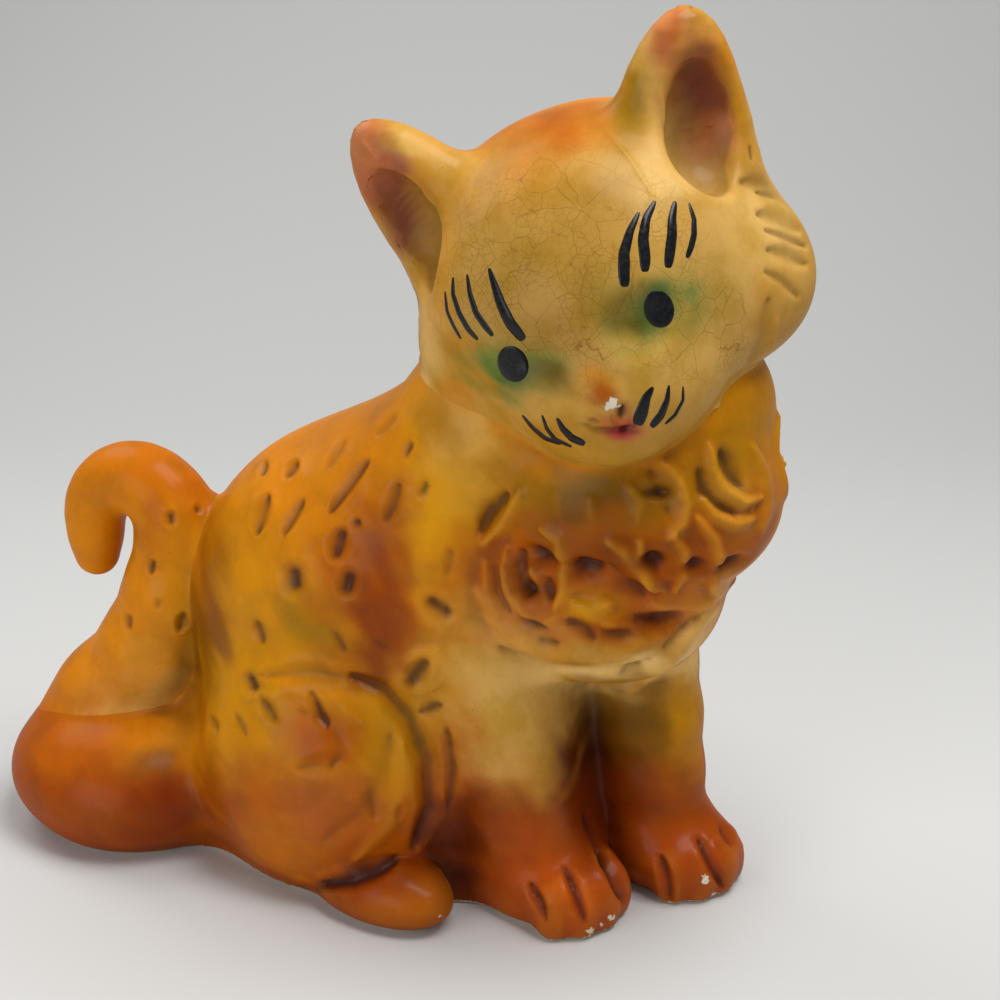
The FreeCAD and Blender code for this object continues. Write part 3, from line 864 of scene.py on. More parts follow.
def carved(piece, field, marks):
    """Draws a piece onto its field, and presses the marks and a mould's unevenness into it."""
    points, outward = draw_onto(field, points_of(piece))
    set_points(piece, points)
    marked = np.abs(sum(raised for raised, _ in marks(points, outward))) > MARKED_FROM
    refine(piece, marked)
    points, outward = draw_onto(field, points_of(piece), steps=3)
    made = marks(points, outward)
    waves = sum(np.sin(points @ np.array(way) / UNEVEN_LENGTH + start) for way, start in UNEVEN_WAVES)
    height = UNEVEN_HEIGHT * waves + sum(raised for raised, _ in made)
    above_foot = smooth(points[:, 2], *FLAT_FROM_TO)
    set_points(piece, points + (softened(piece, height) * above_foot)[:, None] * outward)
    # Painted shade in the hollows and painted highlights on the bumps
    low_lying = hollowness(piece, outward)
    hollow_shade_and_bump_highlight = HOLLOW_SHADE_SHARE * smooth(low_lying, *HOLLOW_SHADE_FROM_TO) - BUMP_HIGHLIGHT_SHARE * smooth(-low_lying, *BUMP_HIGHLIGHT_FROM_TO)
    print(piece.name, "has", len(points), "points, and marks on", int(marked.sum()), "of its first ones")
    return points, outward, np.clip(sum(light_and_shade for _, light_and_shade in made) + hollow_shade_and_bump_highlight, -1, 1)


torso_points, torso_out, torso_light_and_shade = carved(torso, torso_skin, torso_marks)
head_points, head_out, head_light_and_shade = carved(head, head_skin, head_marks)
tail_points, tail_out, tail_light_and_shade = carved(tail, tail_skin, tail_marks)

# %% [markdown]
# ## The paint
# A ground coat goes over each casting by height, then the airbrush lays soft puffs: place and
# half sizes in the photograph's pixels, tilt, colour and strength. Some puffs are painted shade and
# some painted highlights, as marked. Last, painted shade darkens the floors of the strokes and the
# hollows, and painted highlights lighten the tops of the ridges.

# %% Colours
def linear(code):
    """A colour written as six hex digits, as the shader's linear values."""
    values = np.array([int(code[i:i + 2], 16) for i in (0, 2, 4)]) / 255
    return np.where(values <= 0.04045, values / 12.92, ((values + 0.055) / 1.055) ** 2.4)


# The yellow ground and its paler and darker sprays
PALE, CREAM, SAND, STRAW, HONEY = "F0C478", "D6AC60", "BC924A", "BE8C38", "D08E24"
YELLOW, GOLD, OCHRE, TAN, CARAMEL = "F0A800", "D89200", "BC7E00", "9A7226", "BC7420"
# Oranges and reds
ORANGE, AMBER, TERRACOTTA, EMBER = "D27E06", "B45A00", "C8540C", "A8440A"
RUST, BRICK, OXBLOOD = "9A4200", "762600", "421004"
# Browns and greens
BROWN, NUT, UMBER, OLIVE, MOSS = "946200", "7A3A00", "664004", "846A00", "5C4800"
ROSE, SALMON, PINK, GREEN, DEEP_GREEN = "94503C", "CC7A4C", "B03444", "4C7A30", "1E5A34"
# The brown of the painted shade, bare plaster with its pores, enamel with its sheen, and iron with its rust
SHADE_BROWN, PLASTER, PORES = "38201C", "DCD2BE", "B5A88E"
BLACK, BLACK_SHEEN, IRON, IRON_RUST = "0E0F12", "1A1C20", "6E6A66", "7A3A1A"

TORSO_PUFFS = (
    # The near flank: orange back, yellow shoulder and neck, rust patch on the ribs
    (330, 450, 110, 50, -38, ORANGE, 0.9),
    (455, 520, 45, 110, 5, GOLD, 1.0),
    (440, 560, 20, 50, 0, GOLD, 0.6),
    (446, 520, 34, 80, 5, YELLOW, 0.55),
    (425, 440, 30, 60, -10, GOLD, 0.6),
    (470, 430, 28, 50, 0, CREAM, 0.6),
    (440, 420, 22, 28, 0, BROWN, 0.5),
    # Painted shadow of the tail along the flank's left edge
    (212, 640, 14, 60, 4, UMBER, 0.6),
    (208, 590, 18, 100, 4, NUT, 0.75),
    (232, 540, 20, 60, 0, OCHRE, 0.5),
    (300, 620, 55, 60, 0, OCHRE, 0.8),
    (250, 600, 20, 50, 10, GOLD, 0.5),
    (330, 600, 14, 50, 10, AMBER, 0.4),
    (312, 625, 24, 28, 0, OLIVE, 0.5),
    (380, 590, 32, 70, 0, RUST, 1.0),
    (372, 550, 26, 34, 0, BRICK, 0.6),
    (380, 640, 22, 30, 0, BRICK, 0.7),
    (345, 560, 26, 50, 0, AMBER, 0.6),
    (400, 600, 16, 60, 0, AMBER, 0.5),
    (365, 665, 34, 16, 10, BRICK, 0.7),
    (382, 600, 22, 46, 0, BRICK, 0.3),
    # The thigh: yellow above, a rust blot, then darker to the foot
    (270, 740, 70, 50, 0, OCHRE, 0.9),
    (230, 730, 30, 40, 0, GOLD, 0.5),
    (325, 690, 50, 16, 10, ORANGE, 0.7),
    (318, 722, 22, 26, 30, AMBER, 0.8),
    (334, 738, 42, 20, -10, RUST, 0.85),
    (272, 744, 50, 34, 0, AMBER, 0.25),
    (350, 745, 40, 24, 0, AMBER, 0.4),
    (385, 760, 30, 46, 0, OCHRE, 0.9),
    (300, 820, 75, 40, 0, AMBER, 0.8),
    (290, 850, 70, 30, 10, ORANGE, 0.4),
    (355, 855, 45, 14, -25, AMBER, 0.8),
    (372, 838, 36, 13, -35, RUST, 0.7),
    (310, 806, 46, 26, 0, ROSE, 0.35),
    (240, 800, 30, 40, 0, AMBER, 0.6),
    # The ruff: brown painted shadow under the chin, cream shoulders, a rust band and a pale lower tier
    (590, 505, 80, 36, 0, UMBER, 0.85),
    (605, 512, 76, 26, 0, UMBER, 0.5),
    (560, 480, 70, 22, 0, OLIVE, 0.5),
    (660, 500, 40, 30, 0, MOSS, 0.4),
    (760, 440, 40, 80, 10, OCHRE, 0.8),
    (720, 480, 46, 50, 0, BROWN, 0.8),
    (745, 470, 20, 40, 0, OCHRE, 0.6),
    (770, 520, 24, 44, 15, RUST, 0.7),
    (550, 590, 90, 48, 5, AMBER, 0.9),
    (596, 592, 116, 46, 0, AMBER, 1.0),
    (620, 562, 100, 26, 0, RUST, 0.8),
    (705, 566, 56, 36, -20, RUST, 0.85),
    (520, 575, 44, 50, -10, RUST, 0.7),
    (620, 625, 70, 16, 0, RUST, 0.6),
    (640, 545, 60, 12, 0, NUT, 0.5),
    (618, 560, 30, 20, 0, NUT, 0.9),
    (540, 545, 20, 20, 0, NUT, 0.4),
    (500, 580, 20, 40, 0, AMBER, 0.7),
    (592, 604, 24, 11, 0, GOLD, 0.9),
    (680, 602, 34, 12, -5, SALMON, 0.45),
    (625, 634, 28, 12, 0, RUST, 0.7),
    # The lower tier: its own pale colour, laid paler still as painted light where its underside is in shade
    (590, 655, 90, 10, 0, OCHRE, 0.7),
    (560, 676, 60, 16, 8, STRAW, 0.8),
    (630, 682, 84, 24, -12, CREAM, 1.0),
    # Painted highlight along the ridge at the tier's right end
    (708, 622, 16, 42, 35, PALE, 0.9),
    (700, 592, 26, 16, 0, ORANGE, 0.4),
    (738, 502, 22, 24, 0, STRAW, 0.5),
    # The near leg: cream at the shoulder, then orange, rust and brick to the paw
    (500, 700, 60, 70, 0, CREAM, 0.95),
    (510, 690, 40, 50, 0, STRAW, 0.5),
    (545, 770, 22, 60, 0, STRAW, 0.8),
    (450, 760, 24, 60, 0, AMBER, 0.8),
    (440, 700, 20, 40, 0, OCHRE, 0.7),
    (478, 805, 36, 30, 0, BRICK, 0.8),
    (470, 850, 50, 34, 0, OXBLOOD, 0.6),
    (480, 822, 32, 24, 0, OXBLOOD, 0.35),
    (530, 830, 50, 26, 0, RUST, 0.8),
    (565, 880, 70, 40, 0, EMBER, 0.95),
    (572, 886, 50, 26, 20, TERRACOTTA, 0.7),
    (545, 905, 40, 14, 0, RUST, 0.5),
    # The far leg: ochre, brown painted shade in the recess between the legs, rust at the paw
    (660, 720, 50, 60, 0, BROWN, 1.0),
    (688, 720, 18, 60, 5, GOLD, 0.7),
    (664, 724, 26, 50, 0, UMBER, 0.35),
    (620, 740, 30, 60, 0, UMBER, 0.9),
    (588, 745, 20, 70, 0, OXBLOOD, 0.9),
    (600, 800, 30, 40, 0, BRICK, 0.8),
    (640, 800, 50, 26, 0, BRICK, 0.85),
    (700, 830, 60, 40, 20, RUST, 0.9),
    (690, 870, 60, 34, 0, EMBER, 0.95),
    # The pale edge of the lower tier, its own colour made paler as painted light on its shaded underside,
    # over the painted shade that the recess brought
    (614, 671, 80, 11, -6, PALE, 0.95),
    # Painted highlight further down the same ridge
    (694, 650, 16, 26, 35, PALE, 0.7),
    # The hind foot, and painted shade in the slot over it and the hollows behind it
    (390, 900, 70, 34, 0, RUST, 0.95),
    (380, 880, 60, 16, -20, BRICK, 0.5),
    (350, 878, 50, 8, -15, OXBLOOD, 0.9),
    (448, 850, 28, 40, 0, OXBLOOD, 0.7),
    (160, 810, 60, 50, 0, BRICK, 0.9),
    (160, 730, 36, 34, 0, ORANGE, 0.8),
    (172, 728, 26, 20, 0, HONEY, 0.4),
    (152, 760, 20, 20, 0, UMBER, 0.6),
)
HEAD_PUFFS = (
    # The crown and brow
    (470, 170, 50, 40, 0, SAND, 0.8),
    (545, 128, 60, 30, -20, AMBER, 0.8),
    (560, 112, 40, 16, -10, RUST, 0.5),
    (500, 160, 40, 30, 0, OCHRE, 0.5),
    (600, 165, 60, 22, 0, SAND, 0.6),
    (440, 270, 22, 80, 0, GOLD, 0.5),
    (735, 300, 44, 70, 0, SAND, 0.7),
    (640, 190, 60, 30, 0, SAND, 0.5),
    (560, 250, 90, 80, 0, TAN, 0.75),
    (600, 300, 40, 50, 0, TAN, 0.5),
    (560, 400, 40, 24, 10, CREAM, 0.6),
    (560, 402, 34, 20, 0, HONEY, 0.5),
    (456, 382, 16, 24, 0, HONEY, 0.5),
    (600, 300, 26, 26, 0, UMBER, 0.2),
    (650, 380, 60, 40, -20, CREAM, 0.4),
    (735, 320, 40, 70, 0, CREAM, 0.5),
    (440, 330, 16, 40, 0, GOLD, 0.4),
    (462, 390, 20, 40, 0, ORANGE, 0.55),
    (430, 360, 14, 60, 0, CREAM, 0.8),
    (540, 440, 60, 16, 10, OCHRE, 0.6),
    (700, 372, 50, 26, 0, SAND, 0.6),
    (770, 330, 16, 60, 0, OCHRE, 0.5),
    (770, 185, 26, 14, 20, UMBER, 0.4),
    (785, 230, 22, 14, 20, UMBER, 0.35),
    (770, 225, 26, 40, 0, CREAM, 0.7),
    (660, 440, 60, 16, -20, STRAW, 0.6),
    # The left ear
    (365, 132, 16, 18, 0, SALMON, 1.0),
    (384, 184, 26, 50, -24, ROSE, 1.0),
    (368, 160, 12, 26, -20, SALMON, 0.5),
    (378, 178, 14, 28, -24, SALMON, 0.45),
    (396, 200, 12, 30, -24, BRICK, 0.45),
    (402, 232, 12, 18, -20, ROSE, 0.6),
    (415, 150, 34, 12, 28, CREAM, 0.8),
    (428, 185, 14, 26, -20, OCHRE, 0.6),
    (455, 165, 20, 14, 0, SAND, 0.7),
    # The right ear
    (662, 18, 16, 14, 0, SALMON, 0.9),
    (664, 45, 10, 26, 10, RUST, 0.9),
    (700, 90, 30, 62, -14, ROSE, 1.0),
    (693, 84, 16, 24, 0, BRICK, 0.40),
    (722, 110, 12, 44, -10, RUST, 0.4),
    (700, 112, 20, 12, -20, BRICK, 0.3),
    (708, 136, 20, 24, -10, SALMON, 0.9),
    (630, 95, 18, 50, 8, OLIVE, 0.8),
    (622, 60, 14, 40, 20, GOLD, 0.5),
    (652, 110, 12, 60, 0, CREAM, 0.6),
    (745, 110, 14, 60, -12, OCHRE, 0.8),
    (668, 180, 34, 24, 0, CREAM, 0.6),
    # The eyes
    (512, 366, 46, 26, 12, GREEN, 0.75),
    (492, 352, 22, 14, 20, GREEN, 0.6),
    (520, 376, 26, 16, 20, DEEP_GREEN, 0.7),
    (548, 374, 14, 10, 20, MOSS, 0.5),
    (660, 306, 40, 30, -30, GREEN, 0.8),
    (660, 288, 20, 14, 0, DEEP_GREEN, 0.6),
    (652, 316, 22, 20, 0, DEEP_GREEN, 0.5),
    (636, 322, 16, 12, 0, MOSS, 0.6),
    (556, 384, 16, 12, 30, UMBER, 0.4),
    (468, 342, 16, 9, 0, ORANGE, 0.5),
    # The nose and mouth
    (600, 382, 18, 14, 0, ORANGE, 0.7),
    (604, 396, 15, 9, 0, RUST, 0.85),
    (604, 394, 8, 6, 0, AMBER, 0.8),
    (624, 428, 20, 9, -5, PINK, 0.9),
    (626, 430, 12, 3, -5, OXBLOOD, 0.6),
    (624, 410, 8, 8, 0, ROSE, 0.6),
    (606, 420, 16, 5, 0, SALMON, 0.6),
)
TAIL_PUFFS = (
    (150, 600, 60, 160, 0, ORANGE, 0.7),
    # Painted shade down the tail's right side, next to the body
    (222, 560, 16, 60, 6, UMBER, 0.95),
    (212, 630, 16, 46, 18, UMBER, 0.95),
    (192, 676, 14, 34, 40, UMBER, 0.9),
    (165, 690, 30, 12, -40, OLIVE, 0.6),
    (150, 505, 14, 30, 0, RUST, 0.5),
    (190, 600, 26, 80, 0, OCHRE, 0.6),
    (148, 640, 26, 34, 0, HONEY, 0.5),
    (162, 524, 18, 34, 0, RUST, 0.3),
    # More painted shade on the tail's right side
    (216, 640, 10, 40, 14, BRICK, 0.5),
    (150, 715, 50, 40, -30, CREAM, 0.6),
    (170, 470, 60, 20, 15, AMBER, 0.7),
    (200, 500, 20, 30, 0, AMBER, 0.6),
)


# Waves that drift the edges of the spray: how far, in pixels, and how long, in millimetres
DRIFTS = ((9, 44), (6, 21), (2.5, 10))
# A puff smaller than this many pixels drifts less, and these two shape how its edge fades
FULL_DRIFT = 24
FADE_POWER, FADE_RATE = 1.15, 0.8
# How strongly the painted shade and the painted highlights cover the paint
SHADE_COVER, HIGHLIGHT_COVER = 0.85, 0.7
# The ground coat's bands drift with height, and the back of the head is sprayed orange
BAND_DRIFT = 0.3
BEHIND_FROM_TO, BEHIND_COVER = (5, 30), 0.8


def drift(points):
    """How far the edge of the spray strays at each point, in pixels across and down.

    The shares only keep the waves out of step with each other.
    """
    stray = np.zeros((len(points), 2))
    for reach, length in DRIFTS:
        x, y, z = (points * 2 * math.pi / length).T
        bend = np.sin(0.7 * x + 1.1 * z + 0.9 * np.sin(0.6 * y - 0.5 * z))
        stray[:, 0] += reach * np.sin(x + 0.6 * y + 1.3 * bend)
        stray[:, 1] += reach * np.sin(z - 0.5 * x + 1.3 * bend + 1.0)
    return stray


def airbrush(points, paint, sides, puffs):
    """Lays soft puffs of colour over a casting."""
    stray = drift(points)
    for across, down, wide, high, tilt, code, strength in puffs:
        cos, sin = math.cos(math.radians(tilt)), math.sin(math.radians(tilt))
        for places, weight in sides:
            offset = places + stray * min(1, min(wide, high) / FULL_DRIFT) - np.array((across, down))
            along = (offset[:, 0] * cos + offset[:, 1] * sin) / wide
            aside = (offset[:, 1] * cos - offset[:, 0] * sin) / high
            cover = strength * weight * np.exp(-(along ** 2 + aside ** 2) ** FADE_POWER * FADE_RATE)
            paint += (linear(code) - paint) * cover[:, None]
    return paint


def by_height(heights, bands):
    """A ground coat that runs from colour to colour with height."""
    levels = [level for level, _ in bands]
    colours = np.array([linear(code) for _, code in bands])
    return np.stack([np.interp(heights, levels, colours[:, i]) for i in range(3)], 1)


def lay_light_and_shade(paint, light_and_shade):
    """Lays painted shade in the floors of the strokes and the hollows, and painted highlights in honey on the
    tops of the ridges and bumps.
    """
    paint = paint + (linear(SHADE_BROWN) - paint) * (SHADE_COVER * np.clip(light_and_shade, 0, 1))[:, None]
    return paint + (linear(HONEY) - paint) * (HIGHLIGHT_COVER * np.clip(-light_and_shade, 0, 1))[:, None]


TORSO_BANDS = ((0, RUST), (22, RUST), (40, AMBER), (70, OCHRE), (100, ORANGE), (150, ORANGE), (180, OCHRE))
HEAD_BANDS = ((-60, OCHRE), (-30, STRAW), (0, SAND), (28, SAND), (42, CARAMEL), (52, STRAW), (70, STRAW))
TAIL_BANDS = ((0, RUST), (30, AMBER), (60, ORANGE), (110, ORANGE), (140, AMBER))
torso_paint = by_height(torso_points[:, 2] + BAND_DRIFT * drift(torso_points)[:, 1], TORSO_BANDS)
torso_paint = airbrush(torso_points, torso_paint, torso_sides(torso_points, torso_out), TORSO_PUFFS)
head_own = (head_points - HEAD_PLACE) @ HEAD_ATTITUDE
head_paint = by_height(head_own[:, 2], HEAD_BANDS)
behind = smooth(head_own[:, 1], *BEHIND_FROM_TO)[:, None]
head_paint += (linear(ORANGE) - head_paint) * BEHIND_COVER * behind
head_paint = airbrush(head_points, head_paint, head_sides(head_points, head_out), HEAD_PUFFS)
tail_paint = by_height(tail_points[:, 2], TAIL_BANDS)
tail_paint = airbrush(tail_points, tail_paint, tail_sides(tail_points, tail_out), TAIL_PUFFS)
print("puffs on the torso, head and tail:", len(TORSO_PUFFS), len(HEAD_PUFFS), len(TAIL_PUFFS))

# %% [markdown]
# ## Wear and crazing
# Paint is rubbed off the rim of the base and chipped at the nose and toes, where the white plaster
# shows. The varnish on the face has crazed. Both are stored with the points for the shader.

# %% Wear
# Photo place, half width and strength of each chip
CHIPS = (
    (612, 403, 7, 1.0), (606, 408, 4, 1.0), (620, 407, 4, 0.8), (612, 918, 5, 0.9), (590, 931, 5, 0.9),
    (705, 880, 6, 0.9), (714, 894, 4, 0.8), (526, 118, 3, 0.7), (602, 925, 4, 0.8), (440, 916, 5, 0.6),
)
# Photo place and half sizes of each crazed patch, and the shares of them over which it fades
CRAZED, CRAZED_FADE = ((570, 270, 150, 130), (700, 330, 60, 60)), (0.6, 1.2)
# The foot is rubbed bare up to this height
FOOT_BARE, RUB_FROM, FOOT_RUB = 0.9, 0.2, 2.2


def bare_plaster(points, sides):
    """How far the paint is gone at each point."""
    bare = FOOT_BARE * (1 - smooth(points[:, 2], RUB_FROM, FOOT_RUB))
    places, weight = sides[0]
    for across, down, half, strength in CHIPS:
        away = np.hypot(places[:, 0] - across, places[:, 1] - down) / half
        bare = np.maximum(bare, strength * weight * np.exp(-away ** 2))
    return bare


def crazing(sides):
    """How far the varnish is crazed at each point."""
    places, weight = sides[0]
    crazed = np.zeros(len(weight))
    for across, down, wide, high in CRAZED:
        away = np.hypot((places[:, 0] - across) / wide, (places[:, 1] - down) / high)
        crazed = np.maximum(crazed, weight * (1 - smooth(away, *CRAZED_FADE)))
    return crazed


def store(piece, name, values):
    """Keeps one value, or one colour, with each point of a piece."""
    kind = "FLOAT" if values.ndim == 1 else "FLOAT_COLOR"
    layer = piece.data.attributes.new(name, kind, "POINT")
    if kind == "FLOAT":
        layer.data.foreach_set("value", values.astype(np.float32))
    else:
        with_alpha = np.concatenate([values, np.ones((len(values), 1))], 1)
        layer.data.foreach_set("color", with_alpha.astype(np.float32).ravel())


for piece, points, sides, paint, light_and_shade in (
    (torso, torso_points, torso_sides(torso_points, torso_out), torso_paint, torso_light_and_shade),
    (head, head_points, head_sides(head_points, head_out), head_paint, head_light_and_shade),
    (tail, tail_points, tail_sides(tail_points, tail_out), tail_paint, tail_light_and_shade),
):
    store(piece, "paint", np.clip(lay_light_and_shade(paint, light_and_shade), 0, 1))
    store(piece, "bare", bare_plaster(points, sides))
    store(piece, "crazed", crazing(sides) if piece is head else np.zeros(len(points)))
    print(piece.name, "has", int((points[:, 2] < FOOT_RUB).sum()), "points on its rubbed foot")

# %% [markdown]
# ## Lashes, whiskers and pupils
# They are thick black enamel laid with a loaded brush, so each stands a little proud of the
# face. A ball is drawn out along the stroke and laid on the head's skin.

# %% Enamel
# Each stroke: widths in pixels at its start and end, and its line in the photograph
LASHES = (
    (2, 3, ((445, 291), (447, 311), (453, 325), (461, 339))),
    (3, 5, ((453, 277), (453, 294), (459, 313), (468, 329), (478, 340))),
    (3, 6, ((467, 274), (470, 294), (476, 313), (485, 326), (493, 336))),
    (5, 11, ((489, 268), (495, 286), (501, 304), (510, 323), (524, 340))),
    (5, 12, ((639, 212), (630, 231), (624, 253), (624, 274), (625, 287))),
    (6, 11, ((655, 201), (646, 219), (643, 239), (645, 258), (645, 272))),
    (6, 10, ((675, 201), (672, 219), (672, 235), (670, 251), (668, 268))),
    (3, 6, ((689, 203), (694, 219), (694, 235), (691, 247), (687, 258))),
)
WHISKERS = (
    (3, 4, ((522, 415), (533, 428), (545, 438), (561, 444))),
    (3, 3, ((542, 415), (547, 429), (555, 439), (572, 447))),
    (4, 7, ((557, 418), (563, 429), (572, 438), (585, 444))),
    (5, 13, ((653, 387), (646, 398), (642, 411), (637, 425))),
    (3, 8, ((669, 385), (667, 400), (661, 415), (651, 427))),
    (2, 3, ((683, 386), (683, 400), (675, 415), (665, 424))),
)
PUPILS = (
    (15, ((508, 352), (513, 364), (519, 377))),
    (15, ((656, 296), (659, 309), (663, 323))),
)
# Strokes and pupils stand this far off the skin
ENAMEL_RISE, PUPIL_RISE = 0.35, 0.70
# A ball's width goes with the square root of its height at each place. A stroke is blunter by
# this power, and fuller by this much
LASH_BLUNTNESS, LASH_FULLNESS = 0.25, 1.3
POLE = 0.999
DAB_RINGS, DAB_SIDES = 24, 10
# Pixels to look ahead along a stroke for its direction, and by which a pupil runs past its line
LOOK_AHEAD, PUPIL_LAP = 2, 5


def skin_finder(piece):
    """A tree that finds where a line of sight meets a piece."""
    form = bmesh.new()
    form.from_mesh(piece.data)
    tree = BVHTree.FromBMesh(form)
    form.free()
    return tree


def on_skin(tree, place):
    """The point and the outward direction where a photo pixel meets the skin."""
    across, down = (place - PHOTO_SIZE / 2) / FOCAL_PIXELS
    sight = Vector(-BACKWARD + across * RIGHTWARD - down * UPWARD).normalized()
    point, normal, _, _ = tree.ray_cast(Vector(CAMERA_PLACE), sight)
    return point, normal


def dab(form, tree, line, start_width, end_width, rise):
    """A stroke of enamel: a ball drawn out along a line of the photograph, on the skin."""
    line = np.array(line, float)
    steps = np.concatenate([[0], np.cumsum(np.linalg.norm(np.diff(line, axis=0), axis=1))])
    made = bmesh.ops.create_uvsphere(form, u_segments=DAB_SIDES, v_segments=DAB_RINGS, radius=1)
    for vertex in made["verts"]:
        aside, up, along = vertex.co
        share = (along + 1) / 2
        travelled = share * steps[-1]
        before, spot, ahead = (
            np.array([np.interp(travelled + further, steps, line[:, i]) for i in (0, 1)])
            for further in (-LOOK_AHEAD, 0, LOOK_AHEAD)
        )
        way = (ahead - before) / max(np.linalg.norm(ahead - before), 1e-6)
        full = (1 - along ** 2) ** -LASH_BLUNTNESS if abs(along) < POLE else 0
        half = LASH_FULLNESS * full * (start_width + (end_width - start_width) * share) / 2
        point, normal = on_skin(tree, spot + aside * half * np.array((-way[1], way[0])))
        vertex.co = point + normal * up * rise


def pupil(form, tree, half, line):
    """An oval drop of enamel."""
    line = np.array(line, float)
    middle, reach = line[len(line) // 2], (line[-1] - line[0]) / 2
    size = np.linalg.norm(reach)
    way = reach / size
    made = bmesh.ops.create_uvsphere(form, u_segments=DAB_RINGS, v_segments=DAB_RINGS, radius=1)
    for vertex in made["verts"]:
        aside, along, up = vertex.co
        spot = middle + way * along * (size + PUPIL_LAP) + np.array((-way[1], way[0])) * aside * half
        point, normal = on_skin(tree, spot)
        vertex.co = point + normal * up * PUPIL_RISE


def enamel_piece(name, lay):
    """A piece of enamel strokes on the head."""
    form = bmesh.new()
    lay(form)
    bmesh.ops.recalc_face_normals(form, faces=form.faces)
    return object_of(form, name)


face = skin_finder(head)


def lay_strokes(form):
    for start_width, end_width, line in LASHES + WHISKERS:
        dab(form, face, line, start_width, end_width, ENAMEL_RISE)


def lay_pupils(form):
    for half, line in PUPILS:
        pupil(form, face, half, line)


strokes = enamel_piece("lash_and_whisker_enamel", lay_strokes)
pupils = enamel_piece("pupil_enamel", lay_pupils)
print("enamel strokes:", len(LASHES) + len(WHISKERS), "and", len(PUPILS), "pupils")

# %% [markdown]
# ## Materials
# Every material is built from nodes by one small function that adds a node with its settings and
# links. Patterns are scaled from real millimetres.

# %% Node helper
def new_material(name):
    """An empty material, its node tree, and the Object coordinates that its patterns read."""
    material = bpy.data.materials.new(name)
    material.use_nodes = True
    tree = material.node_tree
    tree.nodes.clear()
    return material, tree, add_node(tree, "ShaderNodeTexCoord").outputs["Object"]


def add_node(tree, kind, links=None, **settings):
    """Adds a node; settings are its properties or inputs, and links join outputs to its inputs."""
    node = tree.nodes.new(kind)
    for name, value in settings.items():
        if hasattr(node, name):
            setattr(node, name, value)
        else:
            node.inputs[name.replace("_", " ")].default_value = value
    for name, socket in (links or {}).items():
        tree.links.new(socket, node.inputs[name])
    return node


def per_mm(count):
    """A pattern scale that repeats so many times in a millimetre."""
    return count / MM


def colour(code):
    """A colour for a node's socket."""
    return (*linear(code), 1.0)


def mixed(tree, share, first, second):
    """One colour over another by a share."""
    node = add_node(tree, "ShaderNodeMix", data_type="RGBA")
    for socket, value in ((node.inputs[0], share), (node.inputs[6], first), (node.inputs[7], second)):
        if isinstance(value, bpy.types.NodeSocket):
            tree.links.new(value, socket)
        else:
            socket.default_value = value
    return node.outputs[2]


def ranged(tree, value, low, high, to_low=0.0, to_high=1.0):
    """A value brought from one range to another."""
    node = add_node(tree, "ShaderNodeMapRange", {"Value": value})
    for name, number in (("From Min", low), ("From Max", high), ("To Min", to_low), ("To Max", to_high)):
        node.inputs[name].default_value = number
    return node.outputs["Result"]


def worked(tree, operation, one, other):
    """Two values brought together by a sum, a product and so on."""
    return add_node(tree, "ShaderNodeMath", {0: one, 1: other}, operation=operation).outputs[0]


def noise(tree, place, scale, detail, **settings):
    """Cloudy noise that changes so many times in a millimetre."""
    settings.update(Scale=per_mm(scale), Detail=detail)
    return add_node(tree, "ShaderNodeTexNoise", {"Vector": place}, **settings).outputs["Fac"]


def cell_edges(tree, place, size):
    """How far each place is from the edges of cells about so many millimetres across."""
    settings = {"feature": "DISTANCE_TO_EDGE", "Scale": per_mm(1 / size)}
    return add_node(tree, "ShaderNodeTexVoronoi", {"Vector": place}, **settings).outputs["Distance"]


def finish(tree, links, **settings):
    """The shader of a finish, joined to the material's output."""
    shader = add_node(tree, "ShaderNodeBsdfPrincipled", links, **settings)
    add_node(tree, "ShaderNodeOutputMaterial", {"Surface": shader.outputs[0]})


